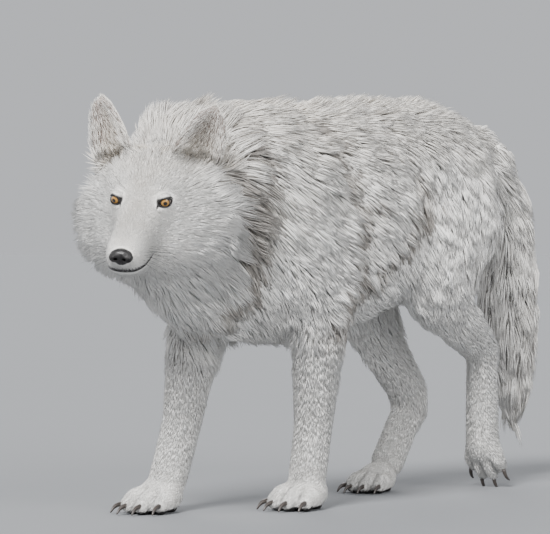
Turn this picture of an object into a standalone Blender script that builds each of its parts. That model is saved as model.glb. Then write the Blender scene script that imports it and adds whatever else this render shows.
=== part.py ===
"""Arctic wolf, life size, as a still model: walking, head low and turned to its left.

Metres, +Z up. The wolf faces -Y and its left side is +X. Every solid gives the outline of the coat.
"""
import math

import bmesh
import bpy
from mathutils import Matrix, Vector

# ---------------------------------------------------------------- driving dimensions
WITHERS_HEIGHT = 0.790      # ground to the top of the coat over the shoulder blades
TRUNK_LENGTH = 0.790        # breast to the back of the thighs
COAT_WIDTH = 0.300          # across the ribs, coat included
HEAD_SCALE = 1.08           # a large male against the head sizes below
HEAD_PLACE = Vector((0.040, -0.440, 0.594))   # the point between the eyes
HEAD_YAW, HEAD_PITCH, HEAD_ROLL = 24.0, 26.0, 4.0   # degrees: to its left, down, left ear down
GAP = 0.0003                # what touching solids keep between them
CUT = 0.0006                # width of the thin cuts that part the body

# Voxel sizes and face budgets of the modelling stages
BODY_VOXEL, FINE_VOXEL, WHOLE_VOXEL = 0.0080, 0.0030, 0.0040
BODY_TRIANGLES = 3960

COAT = ("coat", (0.86, 0.84, 0.78, 1.0), 0.9)
LEATHER = ("nose_leather", (0.02, 0.018, 0.018, 1.0), 0.45)
HORN = ("claw_horn", (0.06, 0.05, 0.045, 1.0), 0.4)
EYE = ("eye", (0.55, 0.33, 0.06, 1.0), 0.08)

MODEL = None                # the collection that holds the wolf, made by main()
CUTTERS = None              # the collection that holds the cutters


# ---------------------------------------------------------------- small helpers
def material(name, colour, roughness):
    """The Principled material of that name, made once."""
    found = bpy.data.materials.get(name)
    if found:
        return found
    made = bpy.data.materials.new(name)
    made.use_nodes = True
    shader = made.node_tree.nodes["Principled BSDF"]
    shader.inputs["Base Color"].default_value = colour
    shader.inputs["Roughness"].default_value = roughness
    shader.inputs["Metallic"].default_value = 0.0
    return made


def object_of(bm, name, collection, finish=COAT):
    """A new object holding the bmesh."""
    mesh = bpy.data.meshes.new(name)
    bm.to_mesh(mesh)
    bm.free()
    mesh.materials.append(material(*finish))
    made = bpy.data.objects.new(name, mesh)
    collection.objects.link(made)
    if collection is CUTTERS:
        made.hide_render = True
        made.display_type = "WIRE"
    return made


def smooth_curve(stations, steps):
    """Catmull-Rom through the stations, each a tuple of floats, with steps spans between two of them."""
    fine = []
    last = len(stations) - 1
    for i in range(last):
        before, a = stations[max(i - 1, 0)], stations[i]
        b, after = stations[i + 1], stations[min(i + 2, last)]
        for step in range(steps):
            t = step / steps
            fine.append(tuple(
                0.5 * (2 * q + (r - p) * t + (2 * p - 5 * q + 4 * r - s) * t * t
                       + (3 * q - p - 3 * r + s) * t ** 3)
                for p, q, r, s in zip(before, a, b, after)
            ))
    fine.append(tuple(stations[last]))
    return fine


def signed_power(value, power):
    return math.copysign(abs(value) ** power, value)


def ring_points(centre, side, up, half_width, above, below, squareness, sides):
    """A closed section: half_width to each side, and above and below its widest line."""
    points = []
    for k in range(sides):
        turn = math.tau * k / sides
        x = half_width * signed_power(math.cos(turn), 2 / squareness)
        z = (above if math.sin(turn) > 0 else below) * signed_power(math.sin(turn), 2 / squareness)
        points.append(centre + side * x + up * z)
    return points


def add_loft(bm, rings):
    """Skins the rings of points, in order, and closes both ends."""
    rows = [[bm.verts.new(point) for point in ring] for ring in rings]
    faces = [bm.faces.new(rows[0]), bm.faces.new(rows[-1])]
    for a, b in zip(rows, rows[1:]):
        for k in range(len(a)):
            n = (k + 1) % len(a)
            faces.append(bm.faces.new((a[k], a[n], b[n], b[k])))
    bmesh.ops.recalc_face_normals(bm, faces=faces)


def add_ball(bm, centre, radii, turn=(0.0, 0.0, 0.0), frame=None, detail=3):
    """An ellipsoid with those half axes, turned by degrees about X, Y and Z."""
    spin = (Matrix.Rotation(math.radians(turn[2]), 4, "Z") @ Matrix.Rotation(math.radians(turn[1]), 4, "Y")
            @ Matrix.Rotation(math.radians(turn[0]), 4, "X"))
    place = Matrix.Translation(Vector(centre)) @ spin @ Matrix.Diagonal((*radii, 1.0))
    if frame is not None:
        place = frame @ place
    bmesh.ops.create_icosphere(bm, subdivisions=detail, radius=1.0, matrix=place)


def add_limb(bm, stations, sides=20, steps=4, across=Vector((1, 0, 0))):
    """A tube through (point, half width along across, half depth square to it)."""
    fine = smooth_curve([(*point, wide, deep) for point, wide, deep in stations], steps)
    centres = [Vector(row[:3]) for row in fine]
    rings = []
    for i, row in enumerate(fine):
        along = (centres[min(i + 1, len(fine) - 1)] - centres[max(i - 1, 0)]).normalized()
        side = (across - along * along.dot(across)).normalized()
        rings.append(ring_points(centres[i], side, along.cross(side), row[3], row[4], row[4], 2.0, sides))
    add_loft(bm, rings)


def baked(made):
    """Applies the object's modifiers to its mesh."""
    bpy.context.view_layer.update()
    graph = bpy.context.evaluated_depsgraph_get()
    mesh = bpy.data.meshes.new_from_object(made.evaluated_get(graph))
    made.modifiers.clear()
    made.data = mesh
    return made


def fuse(made, voxel, rounds, factor=0.5):
    """Makes overlapping forms one skin, and rounds the creases between them."""
    remesh = made.modifiers.new("fuse", "REMESH")
    remesh.mode = "VOXEL"
    remesh.voxel_size = voxel
    soften = made.modifiers.new("soften", "SMOOTH")
    soften.factor = factor
    soften.iterations = rounds
    return baked(made)


def boolean(made, cutter, operation):
    cut = made.modifiers.new(operation.lower(), "BOOLEAN")
    cut.operation = operation
    cut.object = cutter
    cut.solver = "EXACT"
    return baked(made)


def copy_of(made, name, collection, grow=0.0):
    """A copy with its own mesh, its surface moved out by grow."""
    made = bpy.data.objects.new(name, made.data.copy())
    collection.objects.link(made)
    if grow:
        swell = made.modifiers.new("swell", "DISPLACE")
        swell.mid_level = 0.0
        swell.strength = grow
        baked(made)
    if collection is CUTTERS:
        made.hide_render = True
        made.display_type = "WIRE"
    return made


def head_frame(upright=False):
    """Places head parts, modelled facing -Y about the point between the eyes."""
    return (Matrix.Translation(HEAD_PLACE)
            @ Matrix.Rotation(math.radians(HEAD_YAW), 4, "Z")
            @ Matrix.Rotation(math.radians(0.0 if upright else HEAD_PITCH), 4, "X")
            @ Matrix.Rotation(math.radians(HEAD_ROLL), 4, "Y")
            @ Matrix.Diagonal((HEAD_SCALE, HEAD_SCALE, HEAD_SCALE, 1.0)))


# ---------------------------------------------------------------- trunk, neck and tail
# Each section: place along the trunk, top, widest line and underside as shares of the height at the
# withers, and half width as a share of the coat's width.
TRUNK_START = -0.165
TRUNK_SECTIONS = {
    "breast_bone": (-0.06, 0.76, 0.66, 0.50, 0.13),
    "breast": (0.00, 0.88, 0.66, 0.430, 0.34),
    "shoulder": (0.13, 0.975, 0.67, 0.400, 0.460),
    "withers": (0.25, 1.000, 0.67, 0.405, 0.490),
    "ribs": (0.40, 1.010, 0.67, 0.415, 0.500),
    "last_rib": (0.55, 1.020, 0.69, 0.450, 0.485),
    "loin": (0.70, 1.026, 0.71, 0.510, 0.445),
    "croup": (0.85, 1.022, 0.73, 0.585, 0.425),
    "rump": (0.98, 0.984, 0.76, 0.640, 0.360),
    "tail_root": (1.08, 0.925, 0.80, 0.710, 0.200),
}

# Neck and mane: centre, half width, above and below the widest line.
NECK_SECTIONS = (
    ((0.000, 0.020, 0.600), 0.125, 0.185, 0.210),
    ((0.000, -0.090, 0.600), 0.142, 0.190, 0.272),
    ((0.000, -0.180, 0.605), 0.140, 0.182, 0.278),
    ((0.004, -0.250, 0.610), 0.133, 0.158, 0.268),
    ((0.010, -0.310, 0.608), 0.122, 0.118, 0.246),
    ((0.016, -0.355, 0.596), 0.108, 0.080, 0.214),
    ((0.022, -0.400, 0.575), 0.082, 0.050, 0.168),
    ((0.028, -0.430, 0.550), 0.046, 0.030, 0.118),
)
# Raised hair of the nape: centre and half axes.
HACKLES = ((-0.022, -0.250, 0.690), (0.118, 0.094, 0.088))

TAIL_SECTIONS = (
    ((0.000, 0.610, 0.735), 0.050, 0.045),
    ((0.000, 0.700, 0.712), 0.052, 0.054),
    ((0.000, 0.764, 0.650), 0.058, 0.064),
    ((0.000, 0.802, 0.560), 0.066, 0.073),
    ((0.000, 0.818, 0.440), 0.071, 0.076),
    ((0.000, 0.822, 0.320), 0.067, 0.071),
    ((0.000, 0.828, 0.215), 0.050, 0.055),
    ((0.000, 0.835, 0.145), 0.026, 0.029),
    ((0.000, 0.838, 0.105), 0.008, 0.009),
)


def add_trunk(bm):
    rows = []
    for along, top, widest, under, half in TRUNK_SECTIONS.values():
        rows.append((
            TRUNK_START + along * TRUNK_LENGTH, top * WITHERS_HEIGHT, widest * WITHERS_HEIGHT,
            under * WITHERS_HEIGHT, half * COAT_WIDTH,
        ))
    rings = []
    for y, top, widest, under, half in smooth_curve(rows, 4):
        rings.append(ring_points(Vector((0, y, widest)), Vector((1, 0, 0)), Vector((0, 0, 1)),
                                 half, top - widest, widest - under, 2.1, 28))
    add_loft(bm, rings)


def add_neck(bm):
    rows = [(*centre, half, above, below) for centre, half, above, below in NECK_SECTIONS]
    fine = smooth_curve(rows, 4)
    rings = []
    for i, row in enumerate(fine):
        ahead, behind = Vector(fine[min(i + 1, len(fine) - 1)][:3]), Vector(fine[max(i - 1, 0)][:3])
        along = (ahead - behind).normalized()
        side = along.cross(Vector((0, 0, 1))).normalized()
        rings.append(ring_points(Vector(row[:3]), side, Vector((0, 0, 1)), *row[3:], 2.1, 28))
    add_loft(bm, rings)
    add_ball(bm, *HACKLES)


def add_tail(bm):
    add_limb(bm, TAIL_SECTIONS)


# ---------------------------------------------------------------- legs
# Joints of each leg, from the shoulder blade or hip to the knuckle above the paw.
FORELEG_JOINTS = {
    "left": ((0.075, 0.020, 0.680), (0.100, -0.060, 0.520), (0.098, 0.018, 0.400),
             (0.087, 0.010, 0.165), (0.085, -0.010, 0.045)),
    "right": ((-0.075, -0.005, 0.680), (-0.100, -0.120, 0.520), (-0.100, -0.105, 0.400),
              (-0.092, -0.172, 0.165), (-0.090, -0.222, 0.045)),
}
HINDLEG_JOINTS = {
    "left": ((0.065, 0.530, 0.660), (0.094, 0.375, 0.425), (0.080, 0.600, 0.290), (0.080, 0.602, 0.090)),
    "right": ((-0.065, 0.530, 0.660), (-0.084, 0.365, 0.405), (-0.054, 0.535, 0.180),
              (-0.040, 0.420, 0.045)),
}
# Half width and half depth at each named level of the legs.
SHOULDER_SIZE, ARM_SIZE, ELBOW_SIZE = (0.060, 0.100), (0.064, 0.104), (0.057, 0.090)
FOREARM_SIZE, WRIST_SIZE, PASTERN_SIZE = (0.046, 0.062), (0.038, 0.044), (0.037, 0.041)
HIP_SIZE, THIGH_SIZE, STIFLE_SIZE = (0.060, 0.105), (0.068, 0.136), (0.060, 0.108)
SHANK_SIZE, HOCK_SIZE, SHIN_SIZE, ANKLE_SIZE = (0.044, 0.066), (0.034, 0.048), (0.033, 0.040), (0.036, 0.039)
TOE_SPREAD = ((-0.034, 0.012, -9.0), (-0.0125, -0.006, -3.0), (0.0125, -0.006, 3.0), (0.034, 0.012, 9.0))
PAWS = {
    "forepaw_left": ((0.085, -0.034, 0.000), 0.0, 0.0, 1.10),
    "forepaw_right": ((-0.092, -0.256, 0.000), 0.0, 2.0, 1.10),
    "hindpaw_left": ((0.080, 0.632, 0.0755), 98.0, 0.0, 1.00),
    "hindpaw_right": ((-0.037, 0.372, 0.000), 0.0, 2.0, 1.00),
}


def add_foreleg(bm, side):
    blade, shoulder, elbow, wrist, knuckle = (Vector(p) for p in FORELEG_JOINTS[side])
    add_limb(bm, (
        (blade, *SHOULDER_SIZE),
        (shoulder.lerp(elbow, 0.30), *ARM_SIZE),
        (elbow, *ELBOW_SIZE),
        (elbow.lerp(wrist, 0.45), *FOREARM_SIZE),
        (wrist, *WRIST_SIZE),
        (wrist.lerp(knuckle, 0.6), *PASTERN_SIZE),
        (knuckle, *PASTERN_SIZE),
    ))
    add_ball(bm, shoulder, (0.052, 0.075, 0.095), (-20, 0, 0))


def add_hindleg(bm, side):
    hip, stifle, hock, knuckle = (Vector(p) for p in HINDLEG_JOINTS[side])
    add_limb(bm, (
        (hip, *HIP_SIZE),
        (hip.lerp(stifle, 0.45) + Vector((0, 0.030, 0)), *THIGH_SIZE),
        (stifle + Vector((0, 0.028, 0.020)), *STIFLE_SIZE),
        (stifle.lerp(hock, 0.45) + Vector((0, 0.006, 0.004)), *SHANK_SIZE),
        (hock, *HOCK_SIZE),
        (hock.lerp(knuckle, 0.40), *SHIN_SIZE),
        (knuckle, *ANKLE_SIZE),
    ))
    add_ball(bm, hip.lerp(stifle, 0.30) + Vector((0, 0.080, -0.020)), (0.062, 0.080, 0.120), (18, 0, 0))
    heel = (hock - stifle).normalized()
    add_ball(bm, hock + heel * 0.012 + Vector((0, 0.012, 0.012)), (0.020, 0.026, 0.026))


def paw_frame(name):
    """Places a paw, modelled facing -Y with its sole at z = 0."""
    place, dip, yaw, size = PAWS[name]
    return (Matrix.Translation(place) @ Matrix.Rotation(math.radians(yaw), 4, "Z")
            @ Matrix.Rotation(math.radians(dip), 4, "X") @ Matrix.Diagonal((size, size, size, 1.0)))


def add_paw(bm, name):
    frame = paw_frame(name)
    add_ball(bm, (0.0, 0.020, 0.028), (0.037, 0.045, 0.034), frame=frame)
    add_ball(bm, (0.0, 0.000, 0.018), (0.040, 0.034, 0.024), frame=frame)
    for x, y, yaw in TOE_SPREAD:
        add_ball(bm, (x * 0.92, y - 0.014, 0.022), (0.0150, 0.030, 0.0215), (-16, 0, yaw), frame)
        add_ball(bm, (x, y - 0.037, 0.0135), (0.0142, 0.021, 0.0165), (0, 0, yaw), frame)


# ---------------------------------------------------------------- head
# Sections from the nose to the nape: y, top, widest line, underside, half width, squareness.
HEAD_SECTIONS = (
    (-0.148, -0.030, -0.048, -0.068, 0.018, 2.0),
    (-0.140, -0.024, -0.050, -0.081, 0.0285, 2.3),
    (-0.120, -0.017, -0.054, -0.092, 0.0345, 2.6),
    (-0.095, -0.012, -0.058, -0.098, 0.0370, 2.6),
    (-0.068, -0.0075, -0.058, -0.102, 0.0395, 2.5),
    (-0.042, -0.001, -0.056, -0.107, 0.0465, 2.4),
    (-0.018, 0.012, -0.050, -0.112, 0.0600, 2.2),
    (0.005, 0.030, -0.044, -0.119, 0.0740, 2.1),
    (0.035, 0.048, -0.036, -0.126, 0.0840, 2.0),
    (0.070, 0.057, -0.030, -0.136, 0.0920, 2.0),
    (0.105, 0.055, -0.028, -0.140, 0.0920, 2.0),
    (0.140, 0.042, -0.028, -0.130, 0.0800, 2.0),
)
# The cheek ruff: the same sizes, upright behind the face instead of across the skull.
RUFF_SECTIONS = (
    (-0.020, -0.030, -0.080, -0.126, 0.045, 2.0),
    (0.010, 0.008, -0.072, -0.142, 0.084, 2.0),
    (0.038, 0.040, -0.062, -0.152, 0.116, 2.0),
    (0.064, 0.066, -0.054, -0.158, 0.140, 2.0),
    (0.088, 0.084, -0.050, -0.158, 0.150, 2.0),
    (0.112, 0.090, -0.048, -0.150, 0.140, 2.0),
    (0.135, 0.080, -0.048, -0.130, 0.110, 2.0),
)
# An ear's root, on the left side, and its size; how far each ear leans out, turns its opening out and nods.
EAR_PLACE = Vector((0.068, 0.073, 0.026))
EAR_HALF_WIDTH, EAR_HEIGHT, EAR_CUP, EAR_THICKNESS, EAR_GRID = 0.046, 0.132, 0.028, 0.012, 8
EAR_LEANS, EAR_TURN, EAR_NOD = {"left": 26.0, "right": 15.0}, 24.0, -8.0
EYE_PLACE, EYE_RADIUS = Vector((0.0405, -0.0100, -0.0005)), 0.0118
NOSE_PLACE = Vector((0.0, -0.1465, -0.0400))
NOSE_TRIANGLES = 220
# The balls of the nose pad and of the nostrils in its left half: centre and half axes.
NOSE_BALLS = (((0.0, 0.002, 0.002), (0.0185, 0.0120, 0.0110), (-10, 0, 0)),
              ((0.0, 0.002, -0.0060), (0.0120, 0.0105, 0.0100), (0, 0, 0)))
NOSE_WING = ((0.0105, -0.001, -0.0010), (0.0095, 0.0105, 0.0090))
NOSTRIL, NOSTRIL_TURN = ((0.0088, -0.0120, -0.0010), (0.0030, 0.0060, 0.0034)), 24
# A claw in the frame of its toe: y, z, half width.
CLAW_SECTIONS = (
    (-0.046, 0.0160, 0.0046),
    (-0.058, 0.0150, 0.0042),
    (-0.067, 0.0105, 0.0030),
    (-0.0735, 0.0020, 0.0016),
)


def add_skull(bm, frame):
    for sections, place in ((HEAD_SECTIONS, frame), (RUFF_SECTIONS, head_frame(upright=True))):
        rings = []
        for y, top, widest, under, half, squareness in smooth_curve(sections, 4):
            ring = ring_points(Vector((0, y, widest)), Vector((1, 0, 0)), Vector((0, 0, 1)),
                               half, top - widest, widest - under, squareness, 32)
            rings.append([place @ point for point in ring])
        add_loft(bm, rings)
    for side in (-1, 1):
        # brow over the eye, and the cheekbone under it
        add_ball(bm, (side * 0.030, 0.004, 0.014), (0.024, 0.018, 0.010), (24, side * 14, 0), frame)
        add_ball(bm, (side * 0.048, 0.016, -0.028), (0.022, 0.034, 0.018), (0, 0, side * 22), frame)


def ear_frame(side):
    """Places an ear, modelled upright from its root with the opening facing -Y."""
    lean = EAR_LEANS["left" if side > 0 else "right"]
    return (head_frame() @ Matrix.Translation((side * EAR_PLACE.x, EAR_PLACE.y, EAR_PLACE.z))
            @ Matrix.Rotation(math.radians(side * lean), 4, "Y")
            @ Matrix.Rotation(math.radians(side * EAR_TURN), 4, "Z")
            @ Matrix.Rotation(math.radians(EAR_NOD), 4, "X"))


def ear(side):
    """A cupped, rounded triangle on the corner of the skull."""
    bm = bmesh.new()
    grid = []
    for j in range(EAR_GRID + 1):
        v = j / EAR_GRID
        wide = EAR_HALF_WIDTH * (1 - v ** 2.2) ** 0.55 * (1 - 0.12 * v) + 0.003
        row = []
        for i in range(EAR_GRID + 1):
            u = 2 * i / EAR_GRID - 1
            cup = EAR_CUP * (1 - u * u) * (1 - 0.75 * v)
            row.append(bm.verts.new((u * wide, cup, v * EAR_HEIGHT - 0.012)))
        grid.append(row)
    for low, high in zip(grid, grid[1:]):
        for i in range(EAR_GRID):
            bm.faces.new((low[i], low[i + 1], high[i + 1], high[i]))
    bmesh.ops.transform(bm, matrix=ear_frame(side), verts=bm.verts)
    made = object_of(bm, "ear_form", MODEL)
    shell = made.modifiers.new("thickness", "SOLIDIFY")
    shell.thickness = EAR_THICKNESS
    shell.offset = 0.0
    return baked(made)


def eye(side):
    """The eyeball, with the clear bulge over the iris."""
    bm = bmesh.new()
    place = head_frame() @ Matrix.Translation((side * EYE_PLACE.x, EYE_PLACE.y, EYE_PLACE.z))
    add_ball(bm, (0, 0, 0), (EYE_RADIUS,) * 3, frame=place, detail=2)
    return object_of(bm, "eye_left" if side > 0 else "eye_right", MODEL, EYE)


def nose():
    """The nose pad, a rounded block with two comma-shaped nostrils."""
    bm = bmesh.new()
    frame = head_frame() @ Matrix.Translation(NOSE_PLACE)
    for place, radii, turn in NOSE_BALLS:
        add_ball(bm, place, radii, turn, frame)
    (x, y, z), radii = NOSE_WING
    for side in (-1, 1):
        add_ball(bm, (side * x, y, z), radii, frame=frame)
    made = object_of(bm, "nose", MODEL, LEATHER)
    fuse(made, 0.0012, 4)
    thin = made.modifiers.new("lighten", "DECIMATE")
    thin.ratio = NOSE_TRIANGLES / (2 * len(made.data.polygons))
    thin.use_collapse_triangulate = True
    baked(made)
    for side in (-1, 1):
        bm = bmesh.new()
        (x, y, z), radii = NOSTRIL
        add_ball(bm, (side * x, y, z), radii, (0, 0, side * NOSTRIL_TURN), frame, 1)
        boolean(made, object_of(bm, "nostril", CUTTERS, LEATHER), "DIFFERENCE")
    return made


def claw(paw, toe):
    """One claw, from inside the toe down to the floor."""
    x, y, yaw = TOE_SPREAD[toe]
    turn = Matrix.Translation((x, y, 0)) @ Matrix.Rotation(math.radians(yaw), 4, "Z")
    frame = paw_frame(paw) @ turn
    bm = bmesh.new()
    stations = [(frame @ Vector((0, *point)), half, half * 1.25) for *point, half in CLAW_SECTIONS]
    add_limb(bm, stations, sides=6, steps=1, across=frame.to_3x3() @ Vector((1, 0, 0)))
    return object_of(bm, paw.replace("paw", "claw") + "_" + str(toe + 1), MODEL, HORN)


def whole_body():
    """All the flesh and coat as one skin, flat where it stands on the floor."""
    bm = bmesh.new()
    add_trunk(bm)
    add_neck(bm)
    add_tail(bm)
    for side in ("left", "right"):
        add_foreleg(bm, side)
        add_hindleg(bm, side)
    forms = [fuse(object_of(bm, "body_form", MODEL), BODY_VOXEL, 16)]
    bm = bmesh.new()
    add_skull(bm, head_frame())
    forms.append(fuse(object_of(bm, "head_form", MODEL), FINE_VOXEL, 8))
    bm = bmesh.new()
    for name in PAWS:
        add_paw(bm, name)
    forms.append(fuse(object_of(bm, "paw_form", MODEL), FINE_VOXEL, 2))
    forms += [ear(1), ear(-1)]
    bm = bmesh.new()
    for form in forms:
        bm.from_mesh(form.data)
        bpy.data.objects.remove(form, do_unlink=True)
    body = fuse(object_of(bm, "body", MODEL), WHOLE_VOXEL, 4)
    # fewer, larger facets on the body than on the head and the feet
    plain = body.vertex_groups.new(name="plain")
    for vertex in body.data.vertices:
        near_head = (vertex.co - HEAD_PLACE).length < 0.19
        low = vertex.co.z < 0.075
        plain.add([vertex.index], 0.30 if near_head else 0.30 if low else 1.0, "REPLACE")
    lighten = body.modifiers.new("lighten", "DECIMATE")
    lighten.ratio = BODY_TRIANGLES / (2 * len(body.data.polygons))
    lighten.vertex_group = plain.name
    lighten.vertex_group_factor = 1.0
    lighten.use_collapse_triangulate = True
    baked(body)
    floor = prism("floor_cutter", ((-2, -0.2), (2, -0.2), (2, 0), (-2, 0)), "X", -1, 1)
    return boolean(body, floor, "DIFFERENCE")


# ---------------------------------------------------------------- parting the body
# Outlines of the cutters. In the ear's frame and the head's: y and z.
EAR_CUT = ((-0.040, 0.010), (0.046, 0.004), (0.046, 0.160), (-0.040, 0.160))
JAW_CUT = ((-0.200, -0.066), (-0.200, -0.160), (-0.062, -0.160), (-0.062, -0.068))
HEAD_CUT = ((-0.300, -0.150), (-0.300, 0.300), (0.118, 0.300), (0.118, -0.150))
# Of the legs: name, outline in the two other axes, axis, from, to.
LEG_CUTS = (
    ("forepaw_left", ((0.030, -0.100), (0.200, -0.100), (0.200, 0.062), (0.030, 0.062)),
     "Y", -0.200, 0.120),
    ("forepaw_right", ((-0.200, -0.100), (-0.030, -0.100), (-0.030, 0.062), (-0.200, 0.062)),
     "Y", -0.400, -0.100),
    ("hindpaw_left", ((0.000, -0.100), (0.200, -0.100), (0.200, 0.080), (0.000, 0.080)),
     "Y", 0.500, 0.700),
    ("hindpaw_right", ((-0.200, -0.100), (0.030, -0.100), (0.030, 0.062), (-0.200, 0.062)),
     "Y", 0.200, 0.470),
    ("foreleg_left_lower", ((0.030, 0.040), (0.200, 0.040), (0.200, 0.185), (0.030, 0.185)),
     "Y", -0.200, 0.120),
    ("foreleg_right_lower", ((-0.200, 0.040), (-0.030, 0.040), (-0.030, 0.185), (-0.200, 0.185)),
     "Y", -0.400, -0.050),
    ("foreleg_left_upper", ((0.028, 0.100), (0.300, 0.100), (0.300, 0.470), (0.170, 0.470),
                            (0.028, 0.335)), "Y", -0.100, 0.130),
    ("foreleg_right_upper", ((-0.300, 0.100), (-0.028, 0.100), (-0.028, 0.335), (-0.170, 0.470),
                             (-0.300, 0.470)), "Y", -0.220, 0.010),
    ("metatarsus_left", ((0.500, 0.050), (0.730, 0.050), (0.730, 0.305), (0.500, 0.260)), "X", 0.010, 0.200),
    ("metatarsus_right", ((0.250, 0.030), (0.700, 0.030), (0.700, 0.180), (0.400, 0.160)),
     "X", -0.200, 0.030),
    ("shank_left", ((0.430, 0.300), (0.500, 0.200), (0.730, 0.200), (0.730, 0.430), (0.500, 0.460)),
     "X", 0.010, 0.200),
    ("shank_right", ((0.300, 0.100), (0.700, 0.100), (0.700, 0.340), (0.500, 0.380), (0.360, 0.310)),
     "X", -0.200, 0.020),
    ("thigh_left", ((0.200, 0.360), (0.380, 0.200), (0.690, 0.300), (0.690, 0.645), (0.500, 0.690),
                    (0.330, 0.600)), "X", 0.034, 0.300),
    ("thigh_right", ((0.200, 0.360), (0.330, 0.200), (0.690, 0.300), (0.690, 0.645), (0.500, 0.690),
                     (0.330, 0.600)), "X", -0.300, -0.026),
)
# Of the trunk: y and z.
TRUNK_CUTS = (
    ("tail", ((0.700, 0.900), (0.750, 0.000), (1.100, 0.000), (1.100, 0.900))),
    ("rump", ((0.450, 1.000), (0.450, 0.100), (1.000, 0.100), (1.000, 1.000))),
    ("belly", ((0.200, 1.000), (0.200, 0.100), (0.600, 0.100), (0.600, 1.000))),
    ("chest", ((0.075, 1.000), (-0.360, 0.100), (0.400, 0.100), (0.400, 1.000))),
)


def prism(name, outline, axis, low, high, frame=None):
    """A convex cutter: the outline, given in the two other axes in turn, drawn out along the axis."""
    bm = bmesh.new()
    rings = []
    for level in (low, high):
        ring = []
        for pair in outline:
            point = list(pair)
            point.insert("XYZ".index(axis), level)
            ring.append(frame @ Vector(point) if frame is not None else Vector(point))
        rings.append(ring)
    add_loft(bm, rings)
    return object_of(bm, name, CUTTERS)


def part_off(body, name, cutter):
    """Takes what lies in the cutter out of the body as a solid of its own, with a thin cut between."""
    piece = boolean(copy_of(body, name, MODEL), cutter, "INTERSECT")
    boolean(body, copy_of(cutter, name + "_clearance", CUTTERS, CUT), "DIFFERENCE")
    return piece


def seat(body, piece):
    """Clears the body round a piece set into it."""
    boolean(body, copy_of(piece, piece.name + "_seat", CUTTERS, GAP), "DIFFERENCE")


def recentre():
    """Moves the whole wolf so that the middle of its footprint box is the origin."""
    corners = [vertex.co for made in MODEL.objects for vertex in made.data.vertices]
    middle = [-(min(c[i] for c in corners) + max(c[i] for c in corners)) / 2 for i in (0, 1)]
    for made in [*MODEL.objects, *CUTTERS.objects]:
        made.data.transform(Matrix.Translation((*middle, 0.0)))


def main():
    global MODEL, CUTTERS
    for old in list(bpy.data.objects):
        bpy.data.objects.remove(old, do_unlink=True)
    MODEL = bpy.data.collections.new("arctic_wolf")
    CUTTERS = bpy.data.collections.new("cutters")
    for made in (MODEL, CUTTERS):
        bpy.context.scene.collection.children.link(made)
    CUTTERS.hide_render = True

    body = whole_body()
    # ears and lower jaw
    for side, word in ((1, "left"), (-1, "right")):
        frame = ear_frame(side)
        part_off(body, "ear_" + word, prism("ear_cutter", EAR_CUT, "X", -0.056, 0.056, frame))
    part_off(body, "lower_jaw", prism("jaw_cutter", JAW_CUT, "X", -0.060, 0.060, head_frame()))
    # legs, from the paws up
    for name, outline, axis, low, high in LEG_CUTS:
        part_off(body, name, prism(name + "_cutter", outline, axis, low, high))
    for name, outline in TRUNK_CUTS:
        part_off(body, name, prism(name + "_cutter", outline, "X", -0.400, 0.400))
    upright = head_frame(upright=True)
    head = part_off(body, "head", prism("head_cutter", HEAD_CUT, "X", -0.300, 0.300, upright))
    body.name = "neck"
    # what is set into the flesh
    for piece in (eye(1), eye(-1), nose()):
        seat(head, piece)
    floor = bpy.data.objects["floor_cutter"]
    for paw in PAWS:
        for toe in range(len(TOE_SPREAD)):
            seat(bpy.data.objects[paw], boolean(claw(paw, toe), floor, "DIFFERENCE"))
    recentre()


main()
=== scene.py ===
"""Arctic wolf, life size: the skin, coat, eyes, nose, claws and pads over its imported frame.

Laid out as an add-on: each operator makes one group of pieces, and main() calls them in order.
"""
import math
from contextlib import contextmanager

import bmesh
import bpy
import numpy as np
from bpy.props import (
    FloatProperty,
    FloatVectorProperty,
    IntProperty,
    PointerProperty,
)
from mathutils import Matrix, Vector, kdtree
from mathutils.bvhtree import BVHTree


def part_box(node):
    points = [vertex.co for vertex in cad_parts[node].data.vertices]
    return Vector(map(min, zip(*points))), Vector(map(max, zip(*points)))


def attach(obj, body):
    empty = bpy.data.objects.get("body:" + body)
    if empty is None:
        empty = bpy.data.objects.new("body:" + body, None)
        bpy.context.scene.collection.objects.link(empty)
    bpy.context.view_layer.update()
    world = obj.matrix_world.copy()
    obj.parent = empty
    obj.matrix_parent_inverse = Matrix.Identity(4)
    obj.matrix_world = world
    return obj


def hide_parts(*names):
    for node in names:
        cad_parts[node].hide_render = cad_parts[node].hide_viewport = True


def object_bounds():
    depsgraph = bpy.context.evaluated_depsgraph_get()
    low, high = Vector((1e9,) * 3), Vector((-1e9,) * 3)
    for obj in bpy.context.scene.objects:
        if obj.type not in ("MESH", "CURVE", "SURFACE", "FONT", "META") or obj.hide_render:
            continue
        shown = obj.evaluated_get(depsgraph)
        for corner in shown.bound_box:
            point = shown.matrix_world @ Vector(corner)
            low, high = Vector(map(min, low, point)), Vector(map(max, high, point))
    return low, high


bl_info = {
    "name": "Arctic Wolf",
    "version": (1, 0, 0),
    "blender": (4, 5, 0),
    "location": "3D View > Sidebar > Wolf",
    "description": "Skin, coat, eyes, nose, claws and pads of a life-size arctic wolf",
    "category": "Object",
}

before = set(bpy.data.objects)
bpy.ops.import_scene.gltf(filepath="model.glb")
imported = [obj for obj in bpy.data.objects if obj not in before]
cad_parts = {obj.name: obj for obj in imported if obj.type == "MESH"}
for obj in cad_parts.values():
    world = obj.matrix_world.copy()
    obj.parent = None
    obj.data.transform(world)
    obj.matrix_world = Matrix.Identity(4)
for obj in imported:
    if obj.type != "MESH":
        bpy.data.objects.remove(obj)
CAD_BOX = [list(corner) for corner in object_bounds()]
BODY = "root"
MERGE = 1e-5                # points closer than this are one

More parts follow.
